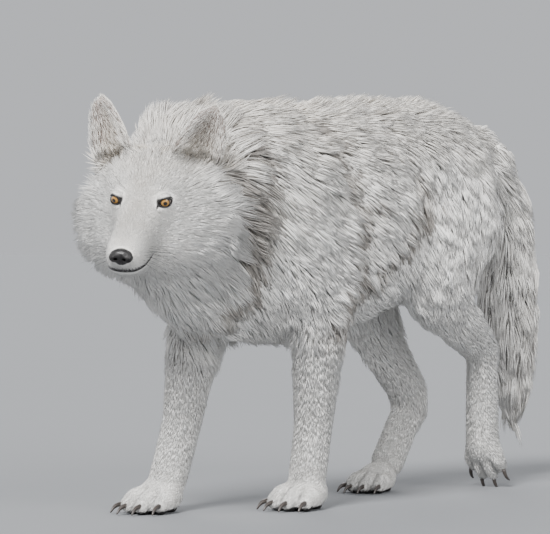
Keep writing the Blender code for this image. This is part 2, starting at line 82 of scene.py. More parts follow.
TRUNK = ("neck", "chest", "belly", "rump", "tail")
HEAD = ("head", "lower_jaw", "ear_left", "ear_right")
LEGS = ("foreleg_{}_upper", "foreleg_{}_lower", "forepaw_{}", "thigh_{}", "shank_{}", "metatarsus_{}",
        "hindpaw_{}")
SIDES = {"left": 1, "right": -1}
FLESH = HEAD + TRUNK + tuple(leg.format(side) for side in SIDES for leg in LEGS)
PAWS = tuple(kind + side for kind in ("forepaw_", "hindpaw_") for side in SIDES)


# ---------------------------------------------------------------- places taken from the frame
def centre(node):
    low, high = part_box(node)
    return (Vector(low) + Vector(high)) / 2


def turned(degrees, axis):
    return Matrix.Rotation(math.radians(degrees), 4, axis)


HEAD_YAW, HEAD_PITCH, HEAD_ROLL = 24.0, 26.0, 4.0    # degrees: to its left, down, left ear down
# The head's own frame: origin between the eyes, X to its left, Y to the nape, Z to the crown.
HEAD_FRAME = (Matrix.Translation((centre("eye_left") + centre("eye_right")) / 2)
              @ turned(HEAD_YAW, "Z") @ turned(HEAD_PITCH, "X") @ turned(HEAD_ROLL, "Y"))
EYE_RADIUS = (Vector(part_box("eye_left")[1]) - Vector(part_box("eye_left")[0])).z / 2
EYE_OUT, EYE_UP, EYE_SLANT = 30.0, 2.0, 5.0    # degrees: from straight ahead, up, outer corner raised
LID = 0.0016                # thickness of a lid over the eyeball
EAR_PLACE = Vector((0.0734, 0.0897, 0.0286))
EAR_LEANS, EAR_TURN, EAR_NOD = {1: 26.0, -1: 15.0}, 24.0, -8.0      # degrees about Y, Z and X
EAR_HEIGHT, EAR_HALF_WIDTH = 0.142, 0.050
NOSE_HEART = Vector((0.0, -0.1474, -0.0427))        # the middle of the nose, in the head's frame


def eye_frame(side):
    """Places an eye: Y into the head along its axis, Z up."""
    place = centre("eye_left" if side > 0 else "eye_right")
    return (Matrix.Translation(place) @ HEAD_FRAME.to_3x3().to_4x4() @ turned(side * EYE_OUT, "Z")
            @ turned(-EYE_UP, "X") @ turned(-side * EYE_SLANT, "Y"))


def ear_frame(side):
    """Places an ear: Z from root to tip, its opening facing -Y."""
    return (HEAD_FRAME @ Matrix.Translation((side * EAR_PLACE.x, EAR_PLACE.y, EAR_PLACE.z))
            @ turned(side * EAR_LEANS[side], "Y") @ turned(side * EAR_TURN, "Z") @ turned(EAR_NOD, "X"))


# ---------------------------------------------------------------- settings
class WolfCoat(bpy.types.PropertyGroup):
    """Sizes and colours of the coat."""
    tufts: IntProperty(name="Tufts", description="How many tufts the coat has", default=136000, min=1000)
    length: FloatProperty(name="Length", description="Scales every tuft's length", default=1.0, min=0.1,
                          subtype="FACTOR")
    clump: FloatProperty(name="Clumping", description="How far tips draw together into locks", default=0.36,
                         min=0.0, max=1.0, subtype="FACTOR")
    white: FloatVectorProperty(name="White", description="The coat's main colour", subtype="COLOR", size=3,
                               default=(0.92, 0.905, 0.875))
    cream: FloatVectorProperty(name="Cream", description="Tint of the back, nape and ears", subtype="COLOR",
                               size=3, default=(0.74, 0.65, 0.52))
    grey: FloatVectorProperty(name="Guard hair", description="Dark guard hair along the back",
                              subtype="COLOR", size=3, default=(0.36, 0.33, 0.30))


class WolfFace(bpy.types.PropertyGroup):
    """Sizes and colours of the bare parts."""
    iris: FloatVectorProperty(name="Iris", description="Amber of the iris", subtype="COLOR", size=3,
                              default=(0.50, 0.25, 0.045))
    leather: FloatVectorProperty(name="Leather", description="Nose, lips, eye rims and pads",
                                 subtype="COLOR", size=3, default=(0.011, 0.010, 0.010))
    horn: FloatVectorProperty(name="Horn", description="Claws", subtype="COLOR", size=3,
                              default=(0.034, 0.027, 0.023))
    eye_width: FloatProperty(name="Eye opening", description="Corner to corner between the lids",
                             default=0.0262, unit="LENGTH")
    upper_lid: FloatProperty(name="Upper lid", description="Its height over the line through the corners",
                             default=0.0086, unit="LENGTH")
    lower_lid: FloatProperty(name="Lower lid", description="Its drop under the line through the corners",
                             default=0.0072, unit="LENGTH")


class WolfStage(bpy.types.PropertyGroup):
    """The camera and the floor."""
    camera: FloatVectorProperty(name="Camera", description="Where the camera stands", subtype="TRANSLATION",
                                unit="LENGTH", default=(3.41434, -4.52977, 0.50))
    turn: FloatProperty(name="Turn", description="Camera, from straight ahead to the wolf's left",
                        default=math.radians(38), subtype="ANGLE")
    tilt: FloatProperty(name="Tilt", description="Camera, below level", default=math.radians(0.37),
                        subtype="ANGLE")
    lens: FloatProperty(name="Lens", description="Focal length in millimetres", default=186.84,
                        subtype="DISTANCE_CAMERA")
    floor: FloatVectorProperty(name="Floor", description="Colour of the floor", subtype="COLOR", size=3,
                               default=(0.208, 0.214, 0.223))


# ---------------------------------------------------------------- helpers
def deselect():
    if bpy.context.object and bpy.context.object.mode != "OBJECT":
        bpy.ops.object.mode_set(mode="OBJECT")
    bpy.ops.object.select_all(action="DESELECT")


def activate(made):
    deselect()
    made.select_set(True)
    bpy.context.view_layer.objects.active = made


@contextmanager
def editing(made):
    """Edit mode on the object with all of it selected, and object mode afterwards."""
    activate(made)
    bpy.ops.object.mode_set(mode="EDIT")
    bpy.ops.mesh.select_all(action="SELECT")
    yield
    bpy.ops.object.mode_set(mode="OBJECT")


@contextmanager
def editing_faces(made, chosen):
    """Edit mode on the object with just those faces selected, and object mode afterwards."""
    activate(made)
    bpy.ops.object.mode_set(mode="EDIT")
    bpy.ops.mesh.select_mode(type="FACE")
    bpy.ops.mesh.select_all(action="DESELECT")
    bpy.ops.object.mode_set(mode="OBJECT")
    made.data.polygons.foreach_set("select", np.asarray(chosen, bool))
    bpy.ops.object.mode_set(mode="EDIT")
    yield
    bpy.ops.object.mode_set(mode="OBJECT")


def smoothed(made):
    activate(made)
    bpy.ops.object.shade_smooth()
    return made


def joined(name, made):
    """The objects as one."""
    deselect()
    for part in made:
        part.select_set(True)
    bpy.context.view_layer.objects.active = made[0]
    if len(made) > 1:
        bpy.ops.object.join()
    made[0].name = name
    return made[0]


def apply_all(made):
    """Applies every modifier in order."""
    activate(made)
    for modifier in list(made.modifiers):
        bpy.ops.object.modifier_apply(modifier=modifier.name)


def settle(made, place=None):
    """Moves an object's place, turn and size into its mesh, and the place given on top of them."""
    if place is not None:
        made.data.transform(place @ made.matrix_world)
        made.matrix_world = Matrix.Identity(4)
        return made
    activate(made)
    bpy.ops.object.transform_apply(location=True, rotation=True, scale=True)
    return made


def finish_piece(made, name, slot, material, *replaced):
    """Names a piece, gives it its finish and hands it to the frame."""
    made.name = made.data.name = name
    made.data.materials.clear()
    made.data.materials.append(material)
    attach(made, BODY)
    if replaced:
        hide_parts(*replaced)
    return made


def arrays(mesh):
    """Vertex places and normals as numpy arrays."""
    count = len(mesh.vertices)
    places, normals = np.empty(count * 3), np.empty(count * 3, np.float32)
    mesh.vertices.foreach_get("co", places)
    mesh.vertex_normals.foreach_get("vector", normals)
    return places.reshape(-1, 3), normals.reshape(-1, 3).astype(float)


def drop_layers(mesh):
    """Takes off the maps and normals that a CAD node's mesh comes with."""
    for attribute in list(mesh.attributes):
        if attribute.name.startswith(("UV", "custom_normal")):
            mesh.attributes.remove(attribute)


def put(mesh, places):
    mesh.vertices.foreach_set("co", places.astype(np.float32).ravel())
    mesh.update()


def relax(places, edges, rounds, amount):
    """Moves points towards the mean of their neighbours; amount may differ from point to point."""
    ends = np.concatenate([edges[:, 0], edges[:, 1]])
    others = np.concatenate([edges[:, 1], edges[:, 0]])
    degree = np.maximum(np.bincount(ends, minlength=len(places)), 1)[:, None]
    for _ in range(rounds):
        mean = np.stack([np.bincount(ends, weights=places[others, k], minlength=len(places))
                         for k in range(places.shape[1])], axis=1) / degree
        places = places + (mean - places) * amount
    return places


def edges_of(mesh):
    pairs = np.empty(len(mesh.edges) * 2, np.int64)
    mesh.edges.foreach_get("vertices", pairs)
    return pairs.reshape(-1, 2)


def unit(vectors):
    return vectors / np.maximum(np.linalg.norm(vectors, axis=-1, keepdims=True), 1e-9)


def squared(vectors, axes):
    """The vectors as directions at right angles to the axes."""
    return unit(vectors - axes * (vectors * axes).sum(1, keepdims=True))


def smoothstep(value, low, high):
    share = np.clip((value - low) / (high - low), 0, 1)
    return share * share * (3 - 2 * share)


def mixed(a, b, share):
    """From a to b by share."""
    return a * (1 - share) + b * share


def bell(value, width):
    return np.exp(-(value / width) ** 2)


def out_of(matrix, points):
    """The points, given in the matrix's frame, in the frame that it is placed in."""
    rows = np.array(matrix)
    return points @ rows[:3, :3].T + rows[:3, 3]


def into(matrix, points):
    """The points in the matrix's frame."""
    return out_of(matrix.inverted(), points)


def within(points, low, high):
    """Which points are inside the box."""
    return ((points > low) & (points < high)).all(1)


def move(points, offset):
    return np.asarray(points, float) + np.asarray(offset, float)


# ---------------------------------------------------------------- lie of the coat
# The body was laid out with the middle between the eyes here; the shift takes its places to the frame.
EYES_LAID = Vector((0.04382, -0.44867, 0.58878))
SHIFT = np.array((*(HEAD_FRAME.translation - EYES_LAID).xy, 0.0))
# Guide rows: place, direction of the hair, its length, tuft width, depth of the coat, cream, grey.
# Both sides carry each row that lies off the middle.
TRUNK_GUIDES = (
    ((0.000, -0.300, 0.715), (0, 0.85, 0.50), 0.070, 0.0036, 0.022, 0.30, 0.15),
    ((0.055, -0.290, 0.740), (0.20, 0.90, 0.30), 0.072, 0.0038, 0.024, 0.28, 0.12),
    ((0.000, -0.220, 0.775), (0, 1.0, 0.22), 0.084, 0.0042, 0.026, 0.36, 0.22),
    ((0.000, -0.100, 0.790), (0, 1.0, 0.05), 0.080, 0.0044, 0.024, 0.42, 0.30),
    ((0.000, 0.050, 0.795), (0, 1.0, -0.02), 0.070, 0.0044, 0.020, 0.42, 0.30),
    ((0.000, 0.250, 0.800), (0, 1.0, 0.00), 0.060, 0.0044, 0.018, 0.40, 0.28),
    ((0.000, 0.400, 0.805), (0, 1.0, -0.08), 0.058, 0.0044, 0.018, 0.36, 0.24),
    ((0.000, 0.530, 0.790), (0, 1.0, -0.30), 0.060, 0.0044, 0.018, 0.30, 0.20),
    ((0.000, 0.620, 0.770), (0, 0.9, -0.50), 0.070, 0.0046, 0.022, 0.28, 0.20),
    ((0.085, -0.080, 0.740), (0.20, 0.90, -0.35), 0.076, 0.0044, 0.022, 0.26, 0.14),
    ((0.095, 0.150, 0.750), (0.12, 0.95, -0.28), 0.060, 0.0044, 0.018, 0.24, 0.12),
    ((0.090, 0.380, 0.750), (0.12, 0.95, -0.30), 0.058, 0.0044, 0.018, 0.22, 0.10),
    ((0.080, 0.550, 0.730), (0.12, 0.85, -0.50), 0.060, 0.0044, 0.018, 0.18, 0.08),
    ((0.120, -0.290, 0.640), (0.10, 0.70, -0.55), 0.080, 0.0044, 0.026, 0.14, 0.05),
    ((0.135, -0.220, 0.560), (0.05, 0.60, -0.80), 0.086, 0.0046, 0.028, 0.08, 0.03),
    ((0.140, -0.120, 0.640), (0.05, 0.75, -0.62), 0.078, 0.0046, 0.024, 0.12, 0.05),
    ((0.145, 0.000, 0.600), (0.02, 0.78, -0.62), 0.062, 0.0044, 0.020, 0.08, 0.03),
    ((0.148, 0.150, 0.580), (0, 0.90, -0.42), 0.056, 0.0044, 0.018, 0.06, 0.02),
    ((0.145, 0.300, 0.580), (0, 0.90, -0.42), 0.056, 0.0044, 0.018, 0.06, 0.02),
    ((0.110, -0.300, 0.450), (0.05, 0.50, -0.85), 0.085, 0.0046, 0.028, 0.04, 0.0),
    ((0.120, -0.170, 0.430), (0.04, 0.55, -0.84), 0.078, 0.0046, 0.024, 0.03, 0.0),
    ((0.120, 0.080, 0.430), (0, 0.80, -0.60), 0.062, 0.0044, 0.020, 0.02, 0.0),
    ((0.120, 0.230, 0.430), (0, 0.85, -0.50), 0.060, 0.0044, 0.019, 0.02, 0.0),
    ((0.100, 0.340, 0.470), (0, 0.85, -0.55), 0.062, 0.0044, 0.018, 0.02, 0.0),
    ((0.000, -0.400, 0.480), (0, 0.30, -0.95), 0.080, 0.0044, 0.026, 0.03, 0.0),
    ((0.000, -0.340, 0.390), (0, 0.60, -0.80), 0.086, 0.0046, 0.028, 0.0, 0.0),
    ((0.000, -0.200, 0.330), (0, 0.80, -0.60), 0.084, 0.0046, 0.026, 0.0, 0.0),
    ((0.070, -0.160, 0.345), (0.05, 0.75, -0.66), 0.078, 0.0046, 0.024, 0.0, 0.0),
    ((0.000, 0.000, 0.315), (0, 0.90, -0.42), 0.066, 0.0044, 0.020, 0.0, 0.0),
    ((0.070, 0.080, 0.330), (0, 0.88, -0.46), 0.066, 0.0044, 0.020, 0.0, 0.0),
    ((0.000, 0.200, 0.340), (0, 0.93, -0.36), 0.060, 0.0044, 0.018, 0.0, 0.0),
    ((0.060, 0.280, 0.370), (0, 0.88, -0.46), 0.062, 0.0044, 0.018, 0.0, 0.0),
    ((0.000, 0.360, 0.420), (0, 0.95, 0.10), 0.050, 0.0040, 0.014, 0.0, 0.0),
    ((0.000, 0.600, 0.600), (0, 0.60, -0.80), 0.052, 0.0042, 0.014, 0.0, 0.0),
)
# The same on the head, in its own frame.
HEAD_GUIDES = (
    ((0.000, -0.135, -0.022), (0, 1.0, 0.10), 0.0060, 0.0013, 0.0022, 0.20, 0.08),
    ((0.000, -0.105, -0.010), (0, 1.0, 0.12), 0.0075, 0.0014, 0.0026, 0.24, 0.10),
    ((0.000, -0.070, -0.003), (0, 1.0, 0.15), 0.0090, 0.0015, 0.0030, 0.28, 0.16),
    ((0.000, -0.035, 0.004), (0, 1.0, 0.25), 0.0110, 0.0016, 0.0034, 0.26, 0.22),
    ((0.026, -0.120, -0.050), (0.15, 1.0, -0.12), 0.0075, 0.0014, 0.0028, 0.06, 0.0),
    ((0.036, -0.085, -0.050), (0.22, 1.0, -0.15), 0.0100, 0.0015, 0.0032, 0.06, 0.0),
    ((0.042, -0.050, -0.055), (0.40, 0.9, -0.25), 0.0130, 0.0017, 0.0040, 0.04, 0.0),
    ((0.022, -0.130, -0.080), (0.10, 0.9, -0.35), 0.0085, 0.0014, 0.0028, 0.0, 0.0),
    ((0.000, -0.125, -0.096), (0, 0.9, -0.40), 0.0110, 0.0015, 0.0034, 0.0, 0.0),
    ((0.030, -0.085, -0.092), (0.20, 0.9, -0.40), 0.0130, 0.0016, 0.0042, 0.0, 0.0),
    ((0.000, -0.060, -0.105), (0, 0.9, -0.45), 0.0220, 0.0020, 0.0080, 0.0, 0.0),
    ((0.040, -0.030, -0.095), (0.40, 0.75, -0.55), 0.0260, 0.0021, 0.0090, 0.0, 0.0),
    ((0.022, -0.004, 0.010), (0.25, 0.8, 0.55), 0.0095, 0.0015, 0.0032, 0.16, 0.40),
    ((0.044, 0.006, 0.020), (0.45, 0.85, 0.35), 0.0105, 0.0016, 0.0034, 0.08, 0.02),
    ((0.062, 0.010, 0.004), (0.60, 0.85, -0.05), 0.0110, 0.0016, 0.0038, 0.04, 0.0),
    ((0.048, -0.010, -0.018), (0.50, 0.85, -0.30), 0.0090, 0.0015, 0.0032, 0.03, 0.0),
    ((0.030, -0.018, -0.016), (0.25, 0.90, -0.35), 0.0080, 0.0014, 0.0028, 0.10, 0.04),
    ((0.058, 0.000, -0.045), (0.55, 0.80, -0.40), 0.0170, 0.0018, 0.0056, 0.02, 0.0),
    ((0.000, 0.010, 0.022), (0, 0.9, 0.50), 0.0135, 0.0017, 0.0042, 0.26, 0.36),
    ((0.000, 0.045, 0.052), (0, 0.95, 0.35), 0.0220, 0.0021, 0.0080, 0.30, 0.36),
    ((0.035, 0.045, 0.048), (0.20, 0.95, 0.28), 0.0200, 0.0020, 0.0070, 0.24, 0.24),
    ((0.000, 0.085, 0.066), (0, 0.95, 0.45), 0.0380, 0.0027, 0.0130, 0.28, 0.18),
    ((0.040, 0.095, 0.060), (0.10, 0.95, 0.40), 0.0360, 0.0027, 0.0120, 0.24, 0.14),
    ((0.078, 0.035, 0.025), (0.65, 0.75, 0.08), 0.0240, 0.0022, 0.0090, 0.10, 0.03),
    ((0.080, 0.030, -0.030), (0.70, 0.60, -0.35), 0.0320, 0.0025, 0.0120, 0.04, 0.0),
    ((0.075, 0.020, -0.080), (0.55, 0.55, -0.65), 0.0400, 0.0028, 0.0150, 0.0, 0.0),
    ((0.110, 0.065, 0.000), (0.70, 0.65, -0.30), 0.0480, 0.0032, 0.0180, 0.08, 0.02),
    ((0.120, 0.070, -0.050), (0.60, 0.60, -0.55), 0.0560, 0.0035, 0.0210, 0.03, 0.0),
    ((0.100, 0.060, -0.110), (0.45, 0.55, -0.75), 0.0580, 0.0036, 0.0220, 0.0, 0.0),
    ((0.145, 0.105, -0.050), (0.45, 0.80, -0.50), 0.0600, 0.0038, 0.0230, 0.06, 0.0),
    ((0.040, 0.020, -0.120), (0.25, 0.70, -0.70), 0.0440, 0.0031, 0.0170, 0.0, 0.0),
    ((0.000, 0.010, -0.120), (0, 0.80, -0.62), 0.0420, 0.0030, 0.0160, 0.0, 0.0),
    ((0.050, 0.070, -0.150), (0.20, 0.65, -0.75), 0.0600, 0.0037, 0.0230, 0.0, 0.0),
    ((0.085, 0.125, 0.040), (0.45, 0.90, 0.00), 0.0560, 0.0036, 0.0200, 0.24, 0.10),
)
FORELEG_JOINTS = {
    "left": ((0.100, -0.060, 0.520), (0.098, 0.018, 0.400), (0.087, 0.010, 0.165), (0.085, -0.010, 0.045)),
    "right": ((-0.100, -0.120, 0.520), (-0.100, -0.105, 0.400), (-0.092, -0.172, 0.165),
              (-0.090, -0.222, 0.045)),
}
HINDLEG_JOINTS = {
    "left": ((0.075, 0.530, 0.620), (0.094, 0.375, 0.425), (0.080, 0.600, 0.290), (0.080, 0.602, 0.090)),
    "right": ((-0.075, 0.530, 0.620), (-0.084, 0.365, 0.405), (-0.054, 0.535, 0.180),
              (-0.040, 0.420, 0.045)),
}
# Each level of a leg: bone it lies on, share along it, half width, half depth, hair length in front
# and behind, tuft width, depth of the coat.
FORELEG_LEVELS = (
    (0, 0.20, 0.055, 0.085, 0.050, 0.056, 0.0042, 0.018),
    (0, 0.75, 0.052, 0.080, 0.040, 0.055, 0.0038, 0.014),
    (1, 0.20, 0.046, 0.062, 0.027, 0.048, 0.0032, 0.010),
    (1, 0.55, 0.040, 0.050, 0.022, 0.036, 0.0029, 0.008),
    (1, 0.90, 0.038, 0.044, 0.018, 0.026, 0.0026, 0.006),
    (2, 0.50, 0.037, 0.041, 0.016, 0.022, 0.0024, 0.005),
)
HINDLEG_LEVELS = (
    (0, 0.15, 0.070, 0.110, 0.056, 0.066, 0.0042, 0.017),
    (0, 0.60, 0.066, 0.110, 0.052, 0.068, 0.0042, 0.017),
    (0, 0.95, 0.058, 0.090, 0.046, 0.056, 0.0040, 0.015),
    (1, 0.35, 0.048, 0.072, 0.034, 0.050, 0.0034, 0.011),
    (1, 0.75, 0.038, 0.054, 0.024, 0.038, 0.0030, 0.008),
    (2, 0.10, 0.034, 0.046, 0.019, 0.030, 0.0027, 0.006),
    (2, 0.60, 0.034, 0.040, 0.016, 0.022, 0.0025, 0.005),
)
TAIL_LINE = (
    ((0.000, 0.700, 0.712), 0.050), ((0.000, 0.764, 0.650), 0.060), ((0.000, 0.802, 0.560), 0.068),
    ((0.000, 0.818, 0.440), 0.072), ((0.000, 0.822, 0.320), 0.068), ((0.000, 0.828, 0.215), 0.050),
    ((0.000, 0.835, 0.145), 0.026), ((0.000, 0.838, 0.105), 0.010),
)
# Each paw: place of its sole, dip and turn in degrees, size.
PAW_PLACES = {
    "forepaw_left": ((0.085, -0.034, 0.000), 0.0, 0.0, 1.10),
    "forepaw_right": ((-0.092, -0.256, 0.000), 0.0, 2.0, 1.10),
    "hindpaw_left": ((0.080, 0.632, 0.0755), 98.0, 0.0, 1.00),
    "hindpaw_right": ((-0.037, 0.372, 0.000), 0.0, 2.0, 1.00),
}
# Each toe in its paw's frame: its place across and along, and its turn in degrees.
TOES = ((-0.034, 0.012, -9.0), (-0.0125, -0.006, -3.0), (0.0125, -0.006, 3.0), (0.034, 0.012, 9.0))
# Guides of every paw, in its own frame: place and direction.
PAW_GUIDES = (
    ((0.000, 0.040, 0.055), (0, -0.9, -0.4)), ((0.000, 0.000, 0.040), (0, -1.0, -0.35)),
    ((0.036, 0.000, 0.020), (0.15, -0.9, -0.4)), ((-0.036, 0.000, 0.020), (-0.15, -0.9, -0.4)),
    ((0.000, -0.045, 0.026), (0, -0.8, -0.6)), ((0.000, 0.062, 0.020), (0, 0.1, -1.0)),
)
LEG_TINTS = 0.02, 0.0
TAIL_HAIR, TAIL_DEPTH = (0.084, 0.0046), 0.030
PAW_HAIR = 0.0125, 0.0020, 0.0035, 0.03, 0.0


def paw_frame(name):
    """Places a paw: -Y to its claws, its sole at z = 0."""
    place, dip, yaw, size = PAW_PLACES[name]
    return (Matrix.Translation(Vector(place) + Vector(SHIFT)) @ turned(yaw, "Z") @ turned(dip, "X")
            @ Matrix.Diagonal((size, size, size, 1.0)))


def guide_rows():
    """Every guide of the coat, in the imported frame, as arrays of place, direction and the rest."""
    places, lies, rest = [], [], []

    def add(place, lie, *sizes):
        places.append(np.array(place, float))
        lies.append(unit(np.array(lie, float)))
        rest.append(sizes)

    for place, lie, *sizes in TRUNK_GUIDES:
        for side in (1, -1) if place[0] else (1,):
            add(move((side * place[0], *place[1:]), SHIFT), (side * lie[0], *lie[1:]), *sizes)
    turn = HEAD_FRAME.to_3x3()
    for place, lie, *sizes in HEAD_GUIDES:
        for side in (1, -1) if place[0] else (1,):
            add(HEAD_FRAME @ Vector((side * place[0], *place[1:])),
                turn @ Vector((side * lie[0], *lie[1:])), *sizes)
    for joints_of, levels in ((FORELEG_JOINTS, FORELEG_LEVELS), (HINDLEG_JOINTS, HINDLEG_LEVELS)):
        for joints in joints_of.values():
            for bone, share, half, deep, front, behind, width, depth in levels:
                a, b = (np.array(joints[bone + k]) for k in (0, 1))
                middle, along = move(a + (b - a) * share, SHIFT), unit(b - a)
                back = unit(np.array((0, 1.0, 0)) - along * along[1])
                for out, away, length in ((0, -1, front), (0, 1, behind), (1, 0.2, front), (-1, 0.2, front)):
                    add(middle + back * deep * away + np.array((half * out, 0, 0)),
                        along + back * (0.10 if away < 0 else 0.28), length, width, depth, *LEG_TINTS)
    for (place, half), (after, _) in zip(TAIL_LINE, TAIL_LINE[1:]):
        along = unit(np.array(after) - np.array(place))
        back = unit(np.array((0, 1.0, 0)) - along * along[1])
        for out, away, cream in ((0, 1, 0.24), (0, -1, 0.04), (1, 0, 0.12), (-1, 0, 0.12)):
            add(move(place, SHIFT) + back * half * away + np.array((half * out, 0, 0)), along,
                *TAIL_HAIR, min(TAIL_DEPTH, half * 0.5), cream, cream * 0.5)
    for name in PAW_PLACES:
        turn = paw_frame(name)
        for place, lie in PAW_GUIDES:
            add(turn @ Vector(place), turn.to_3x3() @ Vector(lie), *PAW_HAIR)
    return np.array(places), np.array(lies), np.array(rest)


GUIDE_PLACES, GUIDE_LIES, GUIDE_REST = guide_rows()
LENGTH, WIDTH, DEPTH, CREAM, GREY = range(5)
NEAREST, AT_ONCE = 6, 20000         # guides that a place takes its hair from, and places worked at a time


def coat_at(points):
    """The hair's direction and its sizes and tints at the points."""
    lies, rest = np.empty((len(points), 3)), np.empty((len(points), GUIDE_REST.shape[1]))
    for start in range(0, len(points), AT_ONCE):
        part = slice(start, start + AT_ONCE)
        apart = ((points[part, None] - GUIDE_PLACES[None]) ** 2).sum(2)
        near = np.argpartition(apart, NEAREST, axis=1)[:, :NEAREST]
        weight = 1 / (np.take_along_axis(apart, near, 1) + 1e-6) ** 1.7
        weight /= weight.sum(1, keepdims=True)
        lies[part] = unit((GUIDE_LIES[near] * weight[..., None]).sum(1))
        rest[part] = (GUIDE_REST[near] * weight[..., None]).sum(1)
    return lies, rest


EAR_BOX = (-0.062, -0.030, -0.012), (0.062, 0.050, 0.160)   # round an ear, in its frame


def in_ear(points, side):
    """Which points are on an ear, and their places in its frame."""
    local = into(ear_frame(side), points)
    return within(local, *EAR_BOX), local


# ---------------------------------------------------------------- materials
def node(tree, kind, **settings):
    made = tree.nodes.new(kind)
    for name, value in settings.items():
        setattr(made, name, value)
    return made


def new_material(name, roughness, **sockets):
    """A Principled material and its tree; sockets gives constants by socket name, _ for a space."""
    made = bpy.data.materials.new(name)
    made.use_nodes = True
    shader = made.node_tree.nodes["Principled BSDF"]
    shader.inputs["Roughness"].default_value = roughness
    for socket, value in sockets.items():
        shader.inputs[socket.replace("_", " ")].default_value = value
    return made, made.node_tree, shader


def ranged(tree, value, low, high, start=0.0, end=1.0):
    """The value's span start to end, mapped to low to high."""
    made = node(tree, "ShaderNodeMapRange")
    for socket, number in (("From Min", start), ("From Max", end), ("To Min", low), ("To Max", high)):
        made.inputs[socket].default_value = number
    tree.links.new(value, made.inputs["Value"])
    return made.outputs["Result"]


def shaded(tree, colour, factor):
    """The colour times the factor."""
    made = node(tree, "ShaderNodeMix", data_type="RGBA", blend_type="MULTIPLY")
    made.inputs["Factor"].default_value = 1.0
    tree.links.new(colour, made.inputs["A"])
    tree.links.new(factor, made.inputs["B"])
    return made.outputs["Result"]


def blended(tree, share, a, b):
    """From a to b by share; a and b are sockets or colours."""
    made = node(tree, "ShaderNodeMix", data_type="RGBA")
    tree.links.new(share, made.inputs["Factor"])
    for socket, value in (("A", a), ("B", b)):
        if isinstance(value, bpy.types.NodeSocket):
            tree.links.new(value, made.inputs[socket])
        else:
            made.inputs[socket].default_value = (*value, 1.0)
    return made.outputs["Result"]


def noise(tree, scale, stretch=(1, 1, 1), layer="", detail=3.0):
    """Noise on Object coordinates, or on the UV map of that name."""
    where = node(tree, "ShaderNodeUVMap", uv_map=layer) if layer else node(tree, "ShaderNodeTexCoord")
    mapping = node(tree, "ShaderNodeMapping")
    mapping.inputs["Scale"].default_value = stretch
    tree.links.new(where.outputs["UV" if layer else "Object"], mapping.inputs["Vector"])
    made = node(tree, "ShaderNodeTexNoise")
    made.inputs["Scale"].default_value = scale
    made.inputs["Detail"].default_value = detail
    tree.links.new(mapping.outputs["Vector"], made.inputs["Vector"])
    return made.outputs["Fac"]


def pebbles(tree, scale):
    """Small rounded cells on Object coordinates."""
    where = node(tree, "ShaderNodeTexCoord")
    made = node(tree, "ShaderNodeTexVoronoi", feature="SMOOTH_F1")
    made.inputs["Scale"].default_value = scale
    tree.links.new(where.outputs["Object"], made.inputs["Vector"])
    return made.outputs["Distance"]


def bumped(tree, shader, height, strength, distance):
    made = node(tree, "ShaderNodeBump")
    made.inputs["Strength"].default_value = strength
    made.inputs["Distance"].default_value = distance
    tree.links.new(height, made.inputs["Height"])
    tree.links.new(made.outputs["Normal"], shader.inputs["Normal"])


def coat_material():
    """Fur: its markings from the tufts, with fine hairs along each of them."""
    made, tree, shader = new_material("fur", 0.62, Specular_IOR_Level=0.22, Sheen_Weight=0.18,
                                      Sheen_Roughness=0.5)
    tint = node(tree, "ShaderNodeAttribute", attribute_name="tint")
    hairs = noise(tree, 1.0, (9.0, 1.1, 1.0), "strand", 2.0)
    colour = shaded(tree, tint.outputs["Color"], ranged(tree, hairs, 0.88, 1.05, 0.3, 0.7))
    tree.links.new(colour, shader.inputs["Base Color"])
    bumped(tree, shader, hairs, 0.25, 0.0005)
    return made


def skin_material():
    """Short hair over skin, and bare dark leather where the skin says so."""
    made, tree, shader = new_material("skin_fur", 0.7, Specular_IOR_Level=0.25)
    tint = node(tree, "ShaderNodeAttribute", attribute_name="tint")
    bare = node(tree, "ShaderNodeAttribute", attribute_name="bare")
    pile = noise(tree, 620.0, (1.0, 0.35, 1.0))
    colour = shaded(tree, tint.outputs["Color"], ranged(tree, pile, 0.78, 1.05, 0.3, 0.7))
    leather = bpy.context.scene.wolf_face.leather
    tree.links.new(blended(tree, bare.outputs["Fac"], colour, leather), shader.inputs["Base Color"])
    tree.links.new(ranged(tree, bare.outputs["Fac"], 0.75, 0.42), shader.inputs["Roughness"])
    bumped(tree, shader, pile, 0.4, 0.0008)
    return made


def leather_material(name, roughness, cell, relief, coat=0.0):
    """Dark leather with a pebbled grain and paler worn places."""
    made, tree, shader = new_material(name, roughness, Coat_Weight=coat, Coat_Roughness=0.22,
                                      Specular_IOR_Level=0.34)
    leather = bpy.context.scene.wolf_face.leather
    worn = [channel * 1.8 + 0.006 for channel in leather]
    patches = noise(tree, 160.0)
    tree.links.new(blended(tree, ranged(tree, patches, 0.0, 1.0, 0.40, 0.75), leather, worn),
                   shader.inputs["Base Color"])
    tree.links.new(ranged(tree, patches, roughness - 0.06, roughness + 0.14, 0.3, 0.7),
                   shader.inputs["Roughness"])
    bumped(tree, shader, pebbles(tree, cell), relief, 0.0005)
    return made


def horn_material():
    """Claw horn: dark, streaked along with paler horn."""
    made, tree, shader = new_material("claw_horn", 0.34, Specular_IOR_Level=0.5, Coat_Weight=0.15,
                                      Coat_Roughness=0.25)
    horn = bpy.context.scene.wolf_face.horn
    streaks = noise(tree, 260.0, (1.0, 0.25, 1.0))
    pale = [channel * 1.7 + 0.012 for channel in horn]
    tree.links.new(blended(tree, ranged(tree, streaks, 0.0, 0.8, 0.35, 0.7), horn, pale),
                   shader.inputs["Base Color"])
    bumped(tree, shader, streaks, 0.35, 0.0003)
    return made


